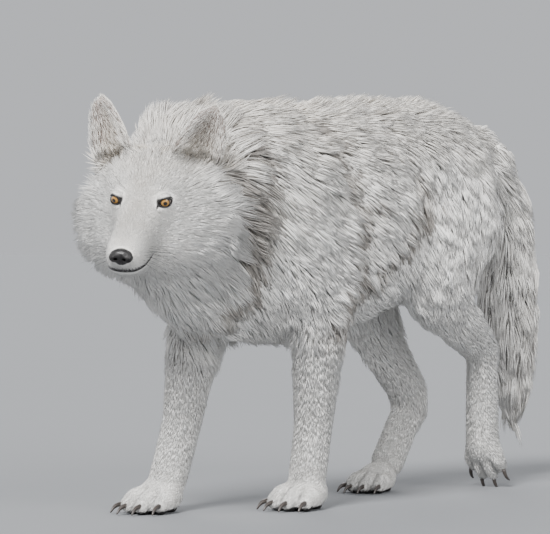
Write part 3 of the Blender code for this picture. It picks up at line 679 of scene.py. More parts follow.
def eye_material():
    """Amber iris in a dark ring round a black pupil; the map gives the place off the axis, in pupils."""
    made, tree, shader = new_material("eye", 0.16, Specular_IOR_Level=0.6, Coat_Weight=1.0,
                                      Coat_Roughness=0.03, Coat_IOR=1.38)
    where = node(tree, "ShaderNodeUVMap", uv_map="iris")
    apart = node(tree, "ShaderNodeVectorMath", operation="LENGTH")
    tree.links.new(where.outputs["UV"], apart.inputs[0])
    parts = node(tree, "ShaderNodeSeparateXYZ")
    tree.links.new(where.outputs["UV"], parts.inputs["Vector"])
    around = node(tree, "ShaderNodeMath", operation="ARCTAN2")
    tree.links.new(parts.outputs["Y"], around.inputs[0])
    tree.links.new(parts.outputs["X"], around.inputs[1])
    ray = node(tree, "ShaderNodeCombineXYZ")
    tree.links.new(around.outputs[0], ray.inputs["X"])
    tree.links.new(ranged(tree, apart.outputs["Value"], 0.0, 0.6), ray.inputs["Y"])
    fibres = node(tree, "ShaderNodeTexNoise")
    fibres.inputs["Scale"].default_value = 9.0
    tree.links.new(ray.outputs["Vector"], fibres.inputs["Vector"])
    iris = Vector(bpy.context.scene.wolf_face.iris)
    rings = node(tree, "ShaderNodeValToRGB")
    stops = ((0.0, (0.002,) * 3), (0.255, (0.002,) * 3), (0.285, iris * 0.45), (0.40, iris),
             (0.54, iris * 0.80), (0.605, iris * 0.20), (0.65, (0.010, 0.008, 0.007)),
             (0.74, (0.10, 0.075, 0.062)), (1.0, (0.22, 0.18, 0.16)))
    ramp = rings.color_ramp
    while len(ramp.elements) < len(stops):
        ramp.elements.new(0.5)
    for element, (place, colour) in zip(ramp.elements, stops):
        element.position = place
        element.color = (*colour, 1.0)
    tree.links.new(apart.outputs["Value"], rings.inputs["Fac"])
    colour = shaded(tree, rings.outputs["Color"], ranged(tree, fibres.outputs["Fac"], 0.55, 1.35, 0.3, 0.7))
    tree.links.new(colour, shader.inputs["Base Color"])
    return made


def studio_material(colour):
    made, tree, shader = new_material("floor", 0.85, Specular_IOR_Level=0.2)
    colour = tuple(colour)
    tree.links.new(blended(tree, noise(tree, 3.0), [c * 0.985 for c in colour], [c * 1.015 for c in colour]),
                   shader.inputs["Base Color"])
    return made


# ---------------------------------------------------------------- markings and painted shade
GROOVES = (-0.0233, 0.0, 0.0233)    # places between the toes, in a paw's frame
GROOVE_WIDE, GROOVE_DEEP, TOE_FAN = 0.0036, 0.0055, 0.105


def toe_grooves(points):
    """How deep in a groove between two toes the points lie, 0 to 1."""
    deep = np.zeros(len(points))
    for name in PAWS:
        local = into(paw_frame(name), points)
        on_toes = smoothstep(-local[:, 1], 0.004, 0.022) * (local[:, 1] > -0.100) \
            * (np.abs(local[:, 0]) < 0.055) * (1 - smoothstep(np.abs(local[:, 2]), 0.042, 0.060))
        for groove in GROOVES:
            across = local[:, 0] - groove - np.sign(groove) * TOE_FAN * -local[:, 1]
            deep = np.maximum(deep, on_toes * bell(across, GROOVE_WIDE))
    return deep


def part_toes(made):
    """Presses the grooves between the toes into the outline."""
    places, normals = arrays(made.data)
    put(made.data, places - normals * (GROOVE_DEEP * toe_grooves(places))[:, None])


# Edges where longer hair ends over the shorter hair behind it, on the side of the body as (z, y) at the
# roots: of the mane, the shoulder and the flank. Then how far the hair lifts there, how far it dips
# behind, and how high the edge goes.
TIERS = (
    (((0.36, -0.290), (0.45, -0.245), (0.56, -0.230), (0.66, -0.240), (0.80, -0.300)), 0.034, 0.018, 0.78),
    (((0.34, -0.020), (0.46, 0.045), (0.58, 0.045), (0.70, 0.000), (0.80, -0.100)), 0.028, 0.016, 0.84),
    (((0.38, 0.046), (0.45, 0.126), (0.50, 0.210), (0.58, 0.290), (0.64, 0.275)), 0.018, 0.012, 0.70),
)
# The same of the ruff of the cheeks, in the head's frame.
RUFF_BACK, RUFF_RISE, RUFF_DIP = 0.100, 0.024, 0.014


def tier_edges(points):
    """For each edge: how far behind it the points are, how much of it is there, its rise and its dip."""
    laid = points - SHIFT
    found = []
    for line, rise, dip, top in TIERS:
        z, y = np.array(line).T
        behind = laid[:, 1] - np.interp(laid[:, 2], z, y) + 0.012 * np.sin(laid[:, 2] * 95)
        here = smoothstep(laid[:, 2], 0.30, 0.38) * (1 - smoothstep(laid[:, 2], top - 0.10, top))
        found.append((behind, here, rise, dip))
    local = into(HEAD_FRAME, points)
    around = np.arctan2(local[:, 0], -local[:, 2])
    behind = local[:, 1] - RUFF_BACK + 0.010 * np.sin(9 * around)
    here = (1 - smoothstep(local[:, 2], -0.02, 0.04)) * (np.linalg.norm(local, axis=1) < 0.32)
    found.append((behind, here, RUFF_RISE, RUFF_DIP))
    return found


def fold_shade_depth(points):
    """How far into the painted shade behind an edge of longer hair the points lie, 0 to 1."""
    deep = np.zeros(len(points))
    for behind, here, _, _ in tier_edges(points):
        band = smoothstep(behind, -0.005, 0.018) * (1 - smoothstep(behind, 0.038, 0.070))
        deep = np.maximum(deep, here * band)
    return deep


# painted shade behind an edge of longer hair, partly greyer hair that lies there, added as cream and grey
# tints
FOLD_SHADE_CREAM, FOLD_SHADE_GREY = 0.30, 0.80      # tints that the shade behind an edge adds
# the most grey of the tints, and the painted shade in the grooves between the toes
MOST_GREY, TOE_SHADE = 0.38, 0.42


def markings_and_shade(points, tints):
    """The coat's colour at the points, with painted shade in its folds and toe grooves; the same on skin and
    hair.
    """
    coat = bpy.context.scene.wolf_coat
    fold_shade = fold_shade_depth(points)
    # painted shade behind the edges of longer hair, partly greyer hair, as cream and grey tints
    tints = tints + np.column_stack([FOLD_SHADE_CREAM * fold_shade, FOLD_SHADE_GREY * fold_shade])
    patches = 0.5 + 0.5 * (np.sin(points[:, 1] * 61 + 4 * np.sin(points[:, 2] * 37))
                           * np.sin(points[:, 2] * 53 + 3 * np.sin(points[:, 0] * 41)))
    cream = np.clip(tints[:, 0] * (0.75 + 0.5 * patches), 0, 1)[:, None]
    grey = np.clip(tints[:, 1] * (0.6 + 0.8 * patches), 0, 1)[:, None] * MOST_GREY
    colour = mixed(mixed(np.array(coat.white), np.array(coat.cream), cream), np.array(coat.grey), grey)
    for side in SIDES.values():
        on_ear, local = in_ear(points, side)
        edge = smoothstep(local[:, 2], 0.08, 0.145) * on_ear
        back = smoothstep(local[:, 1], 0.004, 0.016) * on_ear
        colour = mixed(colour, np.array(coat.cream), (0.35 * back + 0.30 * edge * back)[:, None])
    # painted shade darkens the grooves between the toes
    return colour * (1 - TOE_SHADE * toe_grooves(points))[:, None]


# ---------------------------------------------------------------- skin
FORMS = {}                  # what one step leaves for the next: the outline, the closed skin, the skin
OUTLINE_VOXEL, SKIN_VOXEL = 0.0040, 0.0036
SWELL = 0.0006              # by which the nodes are swollen, so that neighbours overlap and fuse


def fused(made, voxel, rounds):
    """Makes the mesh one closed skin of that fineness, and rounds its creases."""
    fuse = made.modifiers.new("fuse", "REMESH")
    fuse.mode = "VOXEL"
    fuse.voxel_size = voxel
    soften = made.modifiers.new("soften", "SMOOTH")
    soften.factor = 0.5
    soften.iterations = rounds
    apply_all(made)


def joined_flesh(name):
    """One closed form of all the nodes of flesh, at the coat's outline."""
    copies = []
    for part in FLESH + ("eye_left", "eye_right", "nose"):      # the last three fill their hollows
        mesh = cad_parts[part].data.copy()
        bm = bmesh.new()
        bm.from_mesh(mesh)
        bmesh.ops.remove_doubles(bm, verts=bm.verts, dist=MERGE)
        bm.normal_update()
        for vert in bm.verts:
            vert.co += vert.normal * SWELL
        bm.to_mesh(mesh)
        bm.free()
        mesh.materials.clear()
        made = bpy.data.objects.new(name, mesh)
        bpy.context.scene.collection.objects.link(made)
        copies.append(made)
    made = joined(name, copies)
    fused(made, OUTLINE_VOXEL, 2)
    drop_layers(made.data)
    part_toes(made)
    return made


def tree_of(made):
    bm = bmesh.new()
    bm.from_mesh(made.data)
    tree = BVHTree.FromBMesh(bm)
    bm.free()
    return tree


EAR_DEPTH, NOSE_SINK, SINK_STEPS = 0.0026, 0.008, 8
NOSE_ROOM = (0.022, 0.022, 0.017)       # half axes of the hollow round the nose pad
MOST_SINK = 0.30            # share of the body's thickness that the hair may take on each side


def through(tree, places, normals):
    """How thick the form is, straight in from each point."""
    thick = np.full(len(places), 1.0)
    for k, (place, normal) in enumerate(zip(places, normals)):
        distance = tree.ray_cast(place - normal * 0.0008, -normal, 1.0)[3]
        if distance is not None:
            thick[k] = distance
    return thick


def sink(made):
    """Draws the skin in from the coat's outline by the depth of the hair."""
    mesh = made.data
    places, normals = arrays(mesh)
    edges = edges_of(mesh)
    _, rest = coat_at(places)
    depth = rest[:, DEPTH]
    for side in SIDES.values():
        on_ear, local = in_ear(places, side)
        share = smoothstep(local[:, 2], 0.004, 0.030) * on_ear
        depth = mixed(depth, EAR_DEPTH, share)
    most = through(FORMS["outline"], places, normals) * MOST_SINK
    depth = relax(np.minimum(depth, most)[:, None], edges, 10, 0.5)[:, 0]
    depth = np.minimum(depth, most * 1.15)
    nose = np.linalg.norm(into(HEAD_FRAME @ Matrix.Translation(NOSE_HEART), places) / NOSE_ROOM, axis=1)
    depth = depth + NOSE_SINK * (1 - smoothstep(nose, 0.70, 1.0))
    for _ in range(SINK_STEPS):
        places, normals = arrays(mesh)
        places = places - normals * (depth / SINK_STEPS)[:, None]
        places = relax(places, edges, 1, 0.30 * smoothstep(depth, 0.002, 0.012)[:, None])
        put(mesh, places)


def face_centres(mesh):
    places = np.empty(len(mesh.polygons) * 3, np.float32)
    mesh.polygons.foreach_get("center", places)
    return places.reshape(-1, 3).astype(float)


def head_faces(made, low, high):
    """Which faces have their middles in that box of the head's frame."""
    return within(into(HEAD_FRAME, face_centres(made.data)), low, high)


def soft_max(value, least, reach):
    """The value or the least, whichever is more, rounded over that reach."""
    share = np.clip(0.5 + 0.5 * (value - least) / reach, 0, 1)
    return mixed(least, value, share) + reach * share * (1 - share)


LID_REACH = 0.030           # how far round an eye the skin is laid over it


def shape_lids(made):
    """Lays the skin round each eye over its ball, thick as a lid."""
    places, _ = arrays(made.data)
    least = EYE_RADIUS + LID
    for side in SIDES.values():
        local = into(eye_frame(side), places)
        apart = np.linalg.norm(local, axis=1)
        facing = -local[:, 1] / np.maximum(apart, 1e-9)
        near = (apart < LID_REACH) & (facing > -0.2)
        wanted = mixed(soft_max(apart, least, 0.003), least, smoothstep(facing, 0.45, 0.72))
        share = (near * smoothstep(LID_REACH - apart, 0.0, 0.010))[:, None]
        local = local * (1 + (wanted / np.maximum(apart, 1e-9) - 1)[:, None] * share)
        places = np.where(near[:, None], out_of(eye_frame(side), local), places)
    put(made.data, places)


def almond(grow=1.0, points=36):
    """The opening between the lids, in an eye's frame: inner corner at -X, as (x, z)."""
    face = bpy.context.scene.wolf_face
    half = face.eye_width / 2
    outline = []
    for k in range(points):
        turn = math.tau * k / points
        x = -math.cos(turn)
        rise = 1 - abs(x) ** 2.3
        if math.sin(turn) >= 0:
            z = face.upper_lid * rise ** 0.80 * (1 - 0.16 * x)
        else:
            z = -face.lower_lid * rise ** 0.95 * (1 + 0.18 * x)
        outline.append((x * half * grow, z * grow))
    return outline


def subtract(made, cutter):
    cut = made.modifiers.new("cut", "BOOLEAN")
    cut.operation = "DIFFERENCE"
    cut.solver = "EXACT"
    cut.object = cutter
    apply_all(made)
    bpy.data.objects.remove(cutter)


CUT_START, CUT_DEEP = -0.026, 0.023     # from where and how far the almond is cut, along the eye's axis
EYE_ROOM = 0.0003           # clearance of the ball behind the lids


def open_lids(made):
    """Cuts the almond between the lids, and room for the ball behind it."""
    for side in SIDES.values():
        outline = almond()
        deselect()
        bpy.ops.mesh.primitive_circle_add(vertices=len(outline), radius=0.01, fill_type="NGON")
        cutter = bpy.context.object
        for vert, (x, z) in zip(cutter.data.vertices, outline):
            vert.co = (side * x, CUT_START, z)
        with editing(cutter):
            bpy.ops.mesh.extrude_region_move(TRANSFORM_OT_translate={"value": (0, CUT_DEEP, 0)})
            bpy.ops.mesh.select_all(action="SELECT")
            bpy.ops.mesh.normals_make_consistent(inside=False)
        subtract(made, settle(cutter, eye_frame(side)))
        deselect()
        bpy.ops.mesh.primitive_uv_sphere_add(segments=40, ring_count=24, radius=EYE_RADIUS + EYE_ROOM)
        subtract(made, settle(bpy.context.object, eye_frame(side)))


# The mouth in the head's frame: its height, its front and corner along Y, and how far the corner rises.
MOUTH_HEIGHT, MOUTH_FRONT, MOUTH_CORNER, MOUTH_RISE = -0.0712, -0.150, -0.058, 0.004


def mouth_height(y):
    share = np.clip((np.asarray(y) - MOUTH_FRONT) / (MOUTH_CORNER - MOUTH_FRONT), 0, 1)
    return MOUTH_HEIGHT + MOUTH_RISE * share ** 6


def eye_ring(near):
    """How many times the almond of the lids must grow to reach the points, in the left eye's frame."""
    face = bpy.context.scene.wolf_face
    lid = np.where(near[:, 2] > 0, face.upper_lid, face.lower_lid)
    return np.sqrt((near[:, 0] / (face.eye_width / 2)) ** 2 + (near[:, 2] / lid) ** 2)


NOSE_AXES = (0.019, 0.018, 0.0145)      # half axes of the nose pad


def nose_ring(points):
    """How many times the nose pad must grow to reach the points."""
    return np.linalg.norm(into(HEAD_FRAME @ Matrix.Translation(NOSE_HEART), points) / NOSE_AXES, axis=1)


SOLE_BOX = (-0.055, -0.085, -0.02), (0.055, 0.052, 0.03)     # round a sole, in its paw's frame


def bare_share(points):
    """How bare and dark the skin is: lips, the rims and inner corners of the eyes, under the paws."""
    local = into(HEAD_FRAME, points)
    wider = 0.0015 * (1 - smoothstep(local[:, 1], -0.140, -0.120))
    bare = (1 - smoothstep(np.abs(local[:, 2] - mouth_height(local[:, 1])) - wider, 0.0022, 0.0046)) \
        * (1 - smoothstep(local[:, 1], MOUTH_CORNER, MOUTH_CORNER + 0.004))
    for side in SIDES.values():
        near = into(eye_frame(side), points) * (side, 1, 1)
        front = near[:, 1] < 0.004
        bare = np.maximum(bare, (1 - smoothstep(eye_ring(near), 1.16, 1.42)) * front)
        duct_x, duct_z = near[:, 0] + 0.0165, near[:, 2] + 0.0036
        duct = np.sqrt((duct_x / 0.0055) ** 2 + ((duct_z - 0.45 * duct_x) / 0.0022) ** 2)
        bare = np.maximum(bare, (1 - smoothstep(duct, 0.7, 1.3)) * front)
    bare = np.maximum(bare, 1 - smoothstep(nose_ring(points), 0.92, 1.06))
    for name in PAWS:
        sole = into(paw_frame(name), points)
        bare = np.maximum(bare, 0.8 * (1 - smoothstep(sole[:, 2], 0.006, 0.010)) * within(sole, *SOLE_BOX))
    return bare


INNER_EAR, EAR_BARE = (0.33, 0.24, 0.21), 0.75      # its skin's colour, and how much of that shows
# painted shade: the skin under the hair a little darker than the hair
SKIN_SHADE = 0.97           # the skin's brightness beside the hair's


def paint_skin(made):
    """Gives the skin the coat's markings and painted shade, the ears' bare insides, and its bare dark
    places.
    """
    mesh = made.data
    places, _ = arrays(mesh)
    _, rest = coat_at(places)
    # the coat's colour and painted shade, dimmed by the skin's own painted shade
    colour = markings_and_shade(places, rest[:, (CREAM, GREY)]) * SKIN_SHADE
    for side in SIDES.values():
        on_ear, local = in_ear(places, side)
        inside = on_ear * (1 - smoothstep(local[:, 1], 0.010, 0.020)) * smoothstep(local[:, 2], 0.010, 0.030)
        colour = mixed(colour, np.array(INNER_EAR), inside[:, None] * EAR_BARE)
    tint = mesh.color_attributes.new("tint", "FLOAT_COLOR", "POINT")
    opaque = np.column_stack([colour, np.ones(len(colour))])
    tint.data.foreach_set("color", opaque.ravel().astype(np.float32))
    bare = mesh.attributes.new("bare", "FLOAT", "POINT")
    bare.data.foreach_set("value", bare_share(places).astype(np.float32))


MENDS = 4                   # tries at closing the skin


def open_edges(made):
    """Selects the edges that are open or shared by more than two faces, and counts them."""
    bpy.ops.mesh.select_mode(type="EDGE")
    bpy.ops.mesh.select_all(action="DESELECT")
    bpy.ops.mesh.select_non_manifold()
    return made.data.total_edge_sel


def to_triangles():
    """Splits the many-sided faces about their middles, and the rest across."""
    bpy.ops.mesh.select_mode(type="FACE")
    bpy.ops.mesh.select_all(action="DESELECT")
    bpy.ops.mesh.select_face_by_sides(number=4, type="GREATER")
    bpy.ops.mesh.poke()
    bpy.ops.mesh.select_all(action="SELECT")
    bpy.ops.mesh.quads_convert_to_tris()


def close_up(made):
    """Makes the skin all triangles, and mends the slivers that the cuts may leave in it."""
    with editing(made):
        to_triangles()
        for _ in range(MENDS):
            if not open_edges(made):
                break
            bpy.ops.mesh.delete(type="VERT")
            open_edges(made)
            bpy.ops.mesh.fill_holes(sides=0)
            to_triangles()
        found = open_edges(made)
        bpy.ops.mesh.select_mode(type="FACE")
    if found:
        raise RuntimeError(f"the skin keeps {found} open edges")


# The head is left fine, the face and the lids are made finer, and the body above the paws is thinned.
HEAD_BOX = (-0.19, -math.inf, -0.15), (0.19, 0.13, math.inf)
FACE_BOX = (-0.075, -math.inf, -0.15), (0.075, 0.05, math.inf)
EYE_ROUND, PAWS_TOP, BODY_KEPT = 0.026, 0.10, 0.17


class WOLF_OT_skin(bpy.types.Operator):
    """Make the skin under the coat, with its lids"""
    bl_idname = "wolf.skin"
    bl_label = "Skin"

    def execute(self, context):
        made = joined_flesh("skin")
        FORMS["outline"] = tree_of(made)
        sink(made)
        fused(made, SKIN_VOXEL, 1)      # sinking crosses the skin over itself in the creases
        above_paws = face_centres(made.data)[:, 2] > PAWS_TOP
        with editing_faces(made, ~head_faces(made, *HEAD_BOX) & above_paws):
            bpy.ops.mesh.quads_convert_to_tris()
            bpy.ops.mesh.decimate(ratio=BODY_KEPT)
        with editing_faces(made, head_faces(made, *FACE_BOX)):
            bpy.ops.mesh.subdivide(number_cuts=1, smoothness=0.6)
        centres = face_centres(made.data)
        apart = [np.linalg.norm(into(eye_frame(side), centres), axis=1) for side in SIDES.values()]
        with editing_faces(made, np.min(apart, axis=0) < EYE_ROUND):
            bpy.ops.mesh.subdivide(number_cuts=1, smoothness=0.5)
        shape_lids(made)
        FORMS["closed"] = tree_of(made)
        open_lids(made)
        close_up(made)
        with editing(made):
            bpy.ops.uv.smart_project(angle_limit=math.radians(66), island_margin=0.002)
        smoothed(made)
        made.data.uv_layers[0].name = "OFBake"
        paint_skin(made)
        FORMS["skin"] = finish_piece(made, "skin", "coat", skin_material(), *FLESH)
        return {"FINISHED"}


# ---------------------------------------------------------------- eyes
def tube(name, points, radii, closed=False, sides=8):
    """A round tube through the points, as thick at each as its radius."""
    line = bpy.data.curves.new(name, "CURVE")
    line.dimensions = "3D"
    line.bevel_depth = 1.0
    line.bevel_resolution = sides // 2 - 2
    line.use_fill_caps = not closed
    spline = line.splines.new("POLY")
    spline.points.add(len(points) - 1)
    for point, place, radius in zip(spline.points, points, radii):
        point.co = (*place, 1.0)
        point.radius = radius
    spline.use_cyclic_u = closed
    made = bpy.data.objects.new(name, line)
    bpy.context.scene.collection.objects.link(made)
    activate(made)
    bpy.ops.object.convert(target="MESH")
    made = bpy.context.object
    with editing(made):
        bpy.ops.mesh.remove_doubles(threshold=MERGE)
        bpy.ops.mesh.normals_make_consistent(inside=False)
    return smoothed(made)


LOOK_IN = 9.0               # degrees that the pupils turn ahead of the middle of the lids
FRONT_BULGE = 0.0006        # how far the clear front stands off the ball


def eyeball(side):
    """A ball with its poles front and back, the clear front bulging over the iris."""
    deselect()
    bpy.ops.mesh.primitive_uv_sphere_add(segments=48, ring_count=36, radius=EYE_RADIUS)
    made = bpy.context.object
    with editing(made):
        bpy.ops.transform.rotate(value=math.radians(90), orient_axis="X", center_override=(0, 0, 0))
    places, _ = arrays(made.data)
    apart = np.hypot(places[:, 0], places[:, 2]) / EYE_RADIUS
    places[:, 1] -= FRONT_BULGE * (1 - smoothstep(apart, 0.10, 0.66)) * (places[:, 1] < 0)
    put(made.data, places)
    layer = made.data.uv_layers[0]
    layer.name = "iris"
    corners = np.empty(len(made.data.loops), np.int64)
    made.data.loops.foreach_get("vertex_index", corners)
    across, up = places[corners, 0] / EYE_RADIUS, places[corners, 2] / EYE_RADIUS
    behind = np.where(places[corners, 1] > 0, 1.0 + places[corners, 1] / EYE_RADIUS, 1.0)
    layer.data.foreach_set("uv", np.column_stack([across, up]).astype(np.float32).ravel()
                           * np.repeat(behind, 2).astype(np.float32))
    return settle(smoothed(made), eye_frame(side) @ turned(-side * LOOK_IN, "Z"))


def on_skin(place, toward):
    """Where a ray from the place meets the closed skin, and its normal there."""
    hit, normal, _, _ = FORMS["closed"].ray_cast(place, toward)
    if hit is None:
        raise RuntimeError("a ray misses the skin")
    return hit, normal


RIM_GROWN, RIM_POINTS = 1.06, 48        # the rim's almond beside the lids', and points round it
RIM_THICK, UPPER_MORE = 0.00118, 0.0003


def eye_rim(side):
    """The dark bare edge of the lids, drawn out into the tear line at the inner corner."""
    placed = eye_frame(side)
    toward = (placed.to_3x3() @ Vector((0, 1, 0))).normalized()
    points, radii = [], []
    half = bpy.context.scene.wolf_face.eye_width / 2
    for x, z in almond(RIM_GROWN, RIM_POINTS):
        inner = float(smoothstep(-x / half, 0.62, 1.06))
        x, z = x - 0.0036 * inner, z * (1 - 0.55 * inner) - 0.0024 * inner
        hit, normal = on_skin(placed @ Vector((side * x, -0.08, z)), toward)
        points.append(hit + normal * 0.0001)
        upper = UPPER_MORE if z > 0 else 0.0
        radii.append((RIM_THICK + upper) * (1 - 0.45 * min(1.0, abs(x) / half) ** 4))
    return tube("rim", points, radii, closed=True)


class WOLF_OT_eyes(bpy.types.Operator):
    """Make the eyeballs and the dark rims of the lids"""
    bl_idname = "wolf.eyes"
    bl_label = "Eyes"

    def execute(self, context):
        glossy, rim = eye_material(), leather_material("eye_rim", 0.36, 1500.0, 0.15, 0.2)
        for label, side in SIDES.items():
            finish_piece(eyeball(side), "eyeball_" + label, "eye", glossy, "eye_" + label)
            finish_piece(eye_rim(side), "eye_rim_" + label, "nose_leather", rim)
        return {"FINISHED"}


# ---------------------------------------------------------------- nose and lips
def clean_copy(part):
    """A CAD node's shape in a mesh of its own, with its triangles joined up."""
    made = bpy.data.objects.new(part + "_form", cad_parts[part].data.copy())
    bpy.context.scene.collection.objects.link(made)
    with editing(made):
        bpy.ops.mesh.remove_doubles(threshold=MERGE)
    drop_layers(made.data)
    return made


def ball(radii, place):
    """An ellipsoid with those half axes at that place."""
    deselect()
    bpy.ops.mesh.primitive_uv_sphere_add(segments=28, ring_count=18, radius=1.0)
    return settle(bpy.context.object, place @ Matrix.Diagonal((*radii, 1.0)))


NOSE_VOXEL = 0.0009
# What is cut for a nostril and its slit: half axes, place on the nose with Y from its front, then degrees
# about Z and Y, all on the wolf's left.
NOSTRIL_CUTS = (
    ((0.0037, 0.0085, 0.0030), (0.0078, 0.0020, -0.0012), -24.0, 20.0),
    ((0.0046, 0.0075, 0.00125), (0.0138, 0.0060, -0.0030), 34.0, 14.0),
)


class WOLF_OT_nose(bpy.types.Operator):
    """Make the nose pad, with its nostrils and the groove under it"""
    bl_idname = "wolf.nose"
    bl_label = "Nose"

    def execute(self, context):
        made = clean_copy("nose")
        fused(made, NOSE_VOXEL, 8)
        heart = HEAD_FRAME @ Matrix.Translation(NOSE_HEART)
        places, _ = arrays(made.data)
        local = into(heart, places)
        tip = local[:, 1].min()
        groove = bell(local[:, 0], 0.0011) * smoothstep(-local[:, 2], -0.002, 0.006)
        rim = bell(np.abs(local[:, 0]) - 0.0085, 0.0040) * smoothstep(local[:, 2], 0.0, 0.006)
        local[:, 1] += 0.0016 * groove * (local[:, 1] < 0)
        local[:, 1] -= 0.0010 * rim * (local[:, 1] < 0)
        local[:, 0] *= 1.03
        put(made.data, out_of(heart, local))
        for side in SIDES.values():
            for radii, (x, y, z), yaw, roll in NOSTRIL_CUTS:
                place = heart @ Matrix.Translation((side * x, tip + y, z))
                subtract(made, ball(radii, place @ turned(side * yaw, "Z") @ turned(side * roll, "Y")))
        leather = leather_material("nose_leather", 0.38, 950.0, 0.5, 0.12)
        finish_piece(smoothed(made), "nose_pad", "nose_leather", leather, "nose")
        return {"FINISHED"}


LIP_SWEEP, LIP_STEPS = 122.0, 49    # degrees round the muzzle to each corner, and points along a lip
MUZZLE_AXIS = Vector((0, -0.086, 0))    # the rays for the lips meet on the line under this point
LIP_FROM, LIP_NEAR = 0.13, 0.05     # how far out a ray starts, and about where it meets the lip


def lip(name, lift, thick):
    """A lip from corner to corner, lifted from the mouth's line, thinner towards the corners."""
    points, radii = [], []
    turn = HEAD_FRAME.to_3x3()
    for k in range(LIP_STEPS):
        share = 2 * k / (LIP_STEPS - 1) - 1
        angle = math.radians(LIP_SWEEP * share)
        way = Vector((math.sin(angle), -math.cos(angle), 0))
        start = MUZZLE_AXIS + way * LIP_FROM
        taper = 1 - smoothstep(abs(share), 0.72, 1.0)
        height = float(mouth_height((MUZZLE_AXIS + way * LIP_NEAR).y))
        start.z = height + lift * (0.25 + 0.75 * taper)
        hit, normal = on_skin(HEAD_FRAME @ start, turn @ -way)
        points.append(hit + normal * 0.0002)
        radii.append(thick * (0.22 + 0.78 * taper))
    return tube(name, points, radii, sides=10)


class WOLF_OT_lips(bpy.types.Operator):
    """Make the dark lips and the line between them"""
    bl_idname = "wolf.lips"
    bl_label = "Lips"

    def execute(self, context):
        leather = leather_material("lip_leather", 0.44, 1300.0, 0.25, 0.12)
        finish_piece(lip("upper", 0.0014, 0.0016), "lip_upper", "nose_leather", leather)
        finish_piece(lip("lower", -0.0017, 0.0015), "lip_lower", "nose_leather", leather)
        return {"FINISHED"}


# ---------------------------------------------------------------- claws and pads
class WOLF_OT_claws(bpy.types.Operator):
    """Make the claws"""
    bl_idname = "wolf.claws"
    bl_label = "Claws"

    def execute(self, context):
        horn = horn_material()
        for kind in ("foreclaw", "hindclaw"):
            for label in SIDES:
                parts = [f"{kind}_{label}_{number}" for number in (1, 2, 3, 4)]
                claws = []
                for part in parts:
                    made = clean_copy(part)
                    with editing(made):
                        bpy.ops.mesh.dissolve_limited(angle_limit=math.radians(2))
                        bpy.ops.mesh.quads_convert_to_tris()
                    round_off = made.modifiers.new("round", "SUBSURF")
                    round_off.levels = round_off.render_levels = 2
                    apply_all(made)
                    claws.append(made)
                name = f"{kind}s_{label}"
                finish_piece(smoothed(joined(name, claws)), name, "claw_horn", horn, *parts)
        return {"FINISHED"}


# Each pad of a foot in its own frame: place and half axes.
PADS = (
    ((0.000, 0.020, 0.0075), (0.0200, 0.0165, 0.0085)), ((-0.014, 0.030, 0.0075), (0.0110, 0.0120, 0.0080)),
    ((0.014, 0.030, 0.0075), (0.0110, 0.0120, 0.0080)), ((0.000, 0.010, 0.0075), (0.0130, 0.0110, 0.0080)),
)
TOE_PAD = (0.0088, 0.0130, 0.0080)
TOE_PAD_AHEAD, TOE_PAD_HIGH = 0.033, 0.0078
PAD_CLEARANCE, PAD_PROUD = 0.0004, 0.0035       # off the floor, and out of the sole
PAD_VOXEL = 0.0018


def foot_pads(name):
    """The heel pad and the four toe pads of a foot, as one mesh."""
    placed = paw_frame(name)
    hit, _ = on_skin(placed @ Vector((0, 0.020, -0.060)), placed.to_3x3() @ Vector((0, 0, 1)))
    sole = min((placed.inverted() @ hit).z - PAD_PROUD, 0.0)     # the lifted foot's sole is not pressed flat
    parts = [ball(radii, placed @ Matrix.Translation((x, y, z + sole))) for (x, y, z), radii in PADS]
    for x, y, yaw in TOES:
        place = Matrix.Translation((x, y - TOE_PAD_AHEAD, TOE_PAD_HIGH))
        parts.append(ball(TOE_PAD, placed @ place @ turned(yaw, "Z")))
    made = joined("pads_" + name, parts)
    fused(made, PAD_VOXEL, 4)
    places, _ = arrays(made.data)
    local = into(placed, places)
    local[:, 2] = np.maximum(local[:, 2], PAD_CLEARANCE + sole)
    places = out_of(placed, local)
    places[:, 2] = np.maximum(places[:, 2], PAD_CLEARANCE)
    put(made.data, places)
    return smoothed(made)


class WOLF_OT_pads(bpy.types.Operator):
    """Make the pads under the feet"""
    bl_idname = "wolf.pads"
    bl_label = "Pads"

    def execute(self, context):
        leather = leather_material("pad_leather", 0.62, 620.0, 0.7)
        for name in PAWS:
            finish_piece(foot_pads(name), "pads_" + name, "nose_leather", leather)
        return {"FINISHED"}


# ---------------------------------------------------------------- meshes of many tufts
def mesh_of(name, verts, faces, layers, tint):
    """A mesh from arrays: faces as rows of corners, -1 ending a triangle; layers gives UVs by vertex."""
    mesh = bpy.data.meshes.new(name)
    sizes = (faces >= 0).sum(1)
    corners = faces[faces >= 0]
    mesh.vertices.add(len(verts))
    mesh.vertices.foreach_set("co", verts.astype(np.float32).ravel())
    mesh.loops.add(len(corners))
    mesh.loops.foreach_set("vertex_index", corners.astype(np.int32))
    mesh.polygons.add(len(faces))
    starts = np.concatenate([[0], np.cumsum(sizes)[:-1]])
    mesh.polygons.foreach_set("loop_start", starts.astype(np.int32))
    mesh.update(calc_edges=True)
    for layer, places in layers.items():
        made = mesh.uv_layers.new(name=layer)
        made.data.foreach_set("uv", places[corners].astype(np.float32).ravel())
    colours = mesh.color_attributes.new("tint", "FLOAT_COLOR", "POINT")
    colours.data.foreach_set("color", np.column_stack([tint, np.ones(len(tint))]).astype(np.float32).ravel())
    mesh.shade_smooth()
    made = bpy.data.objects.new(name, mesh)
    bpy.context.scene.collection.objects.link(made)
    return made


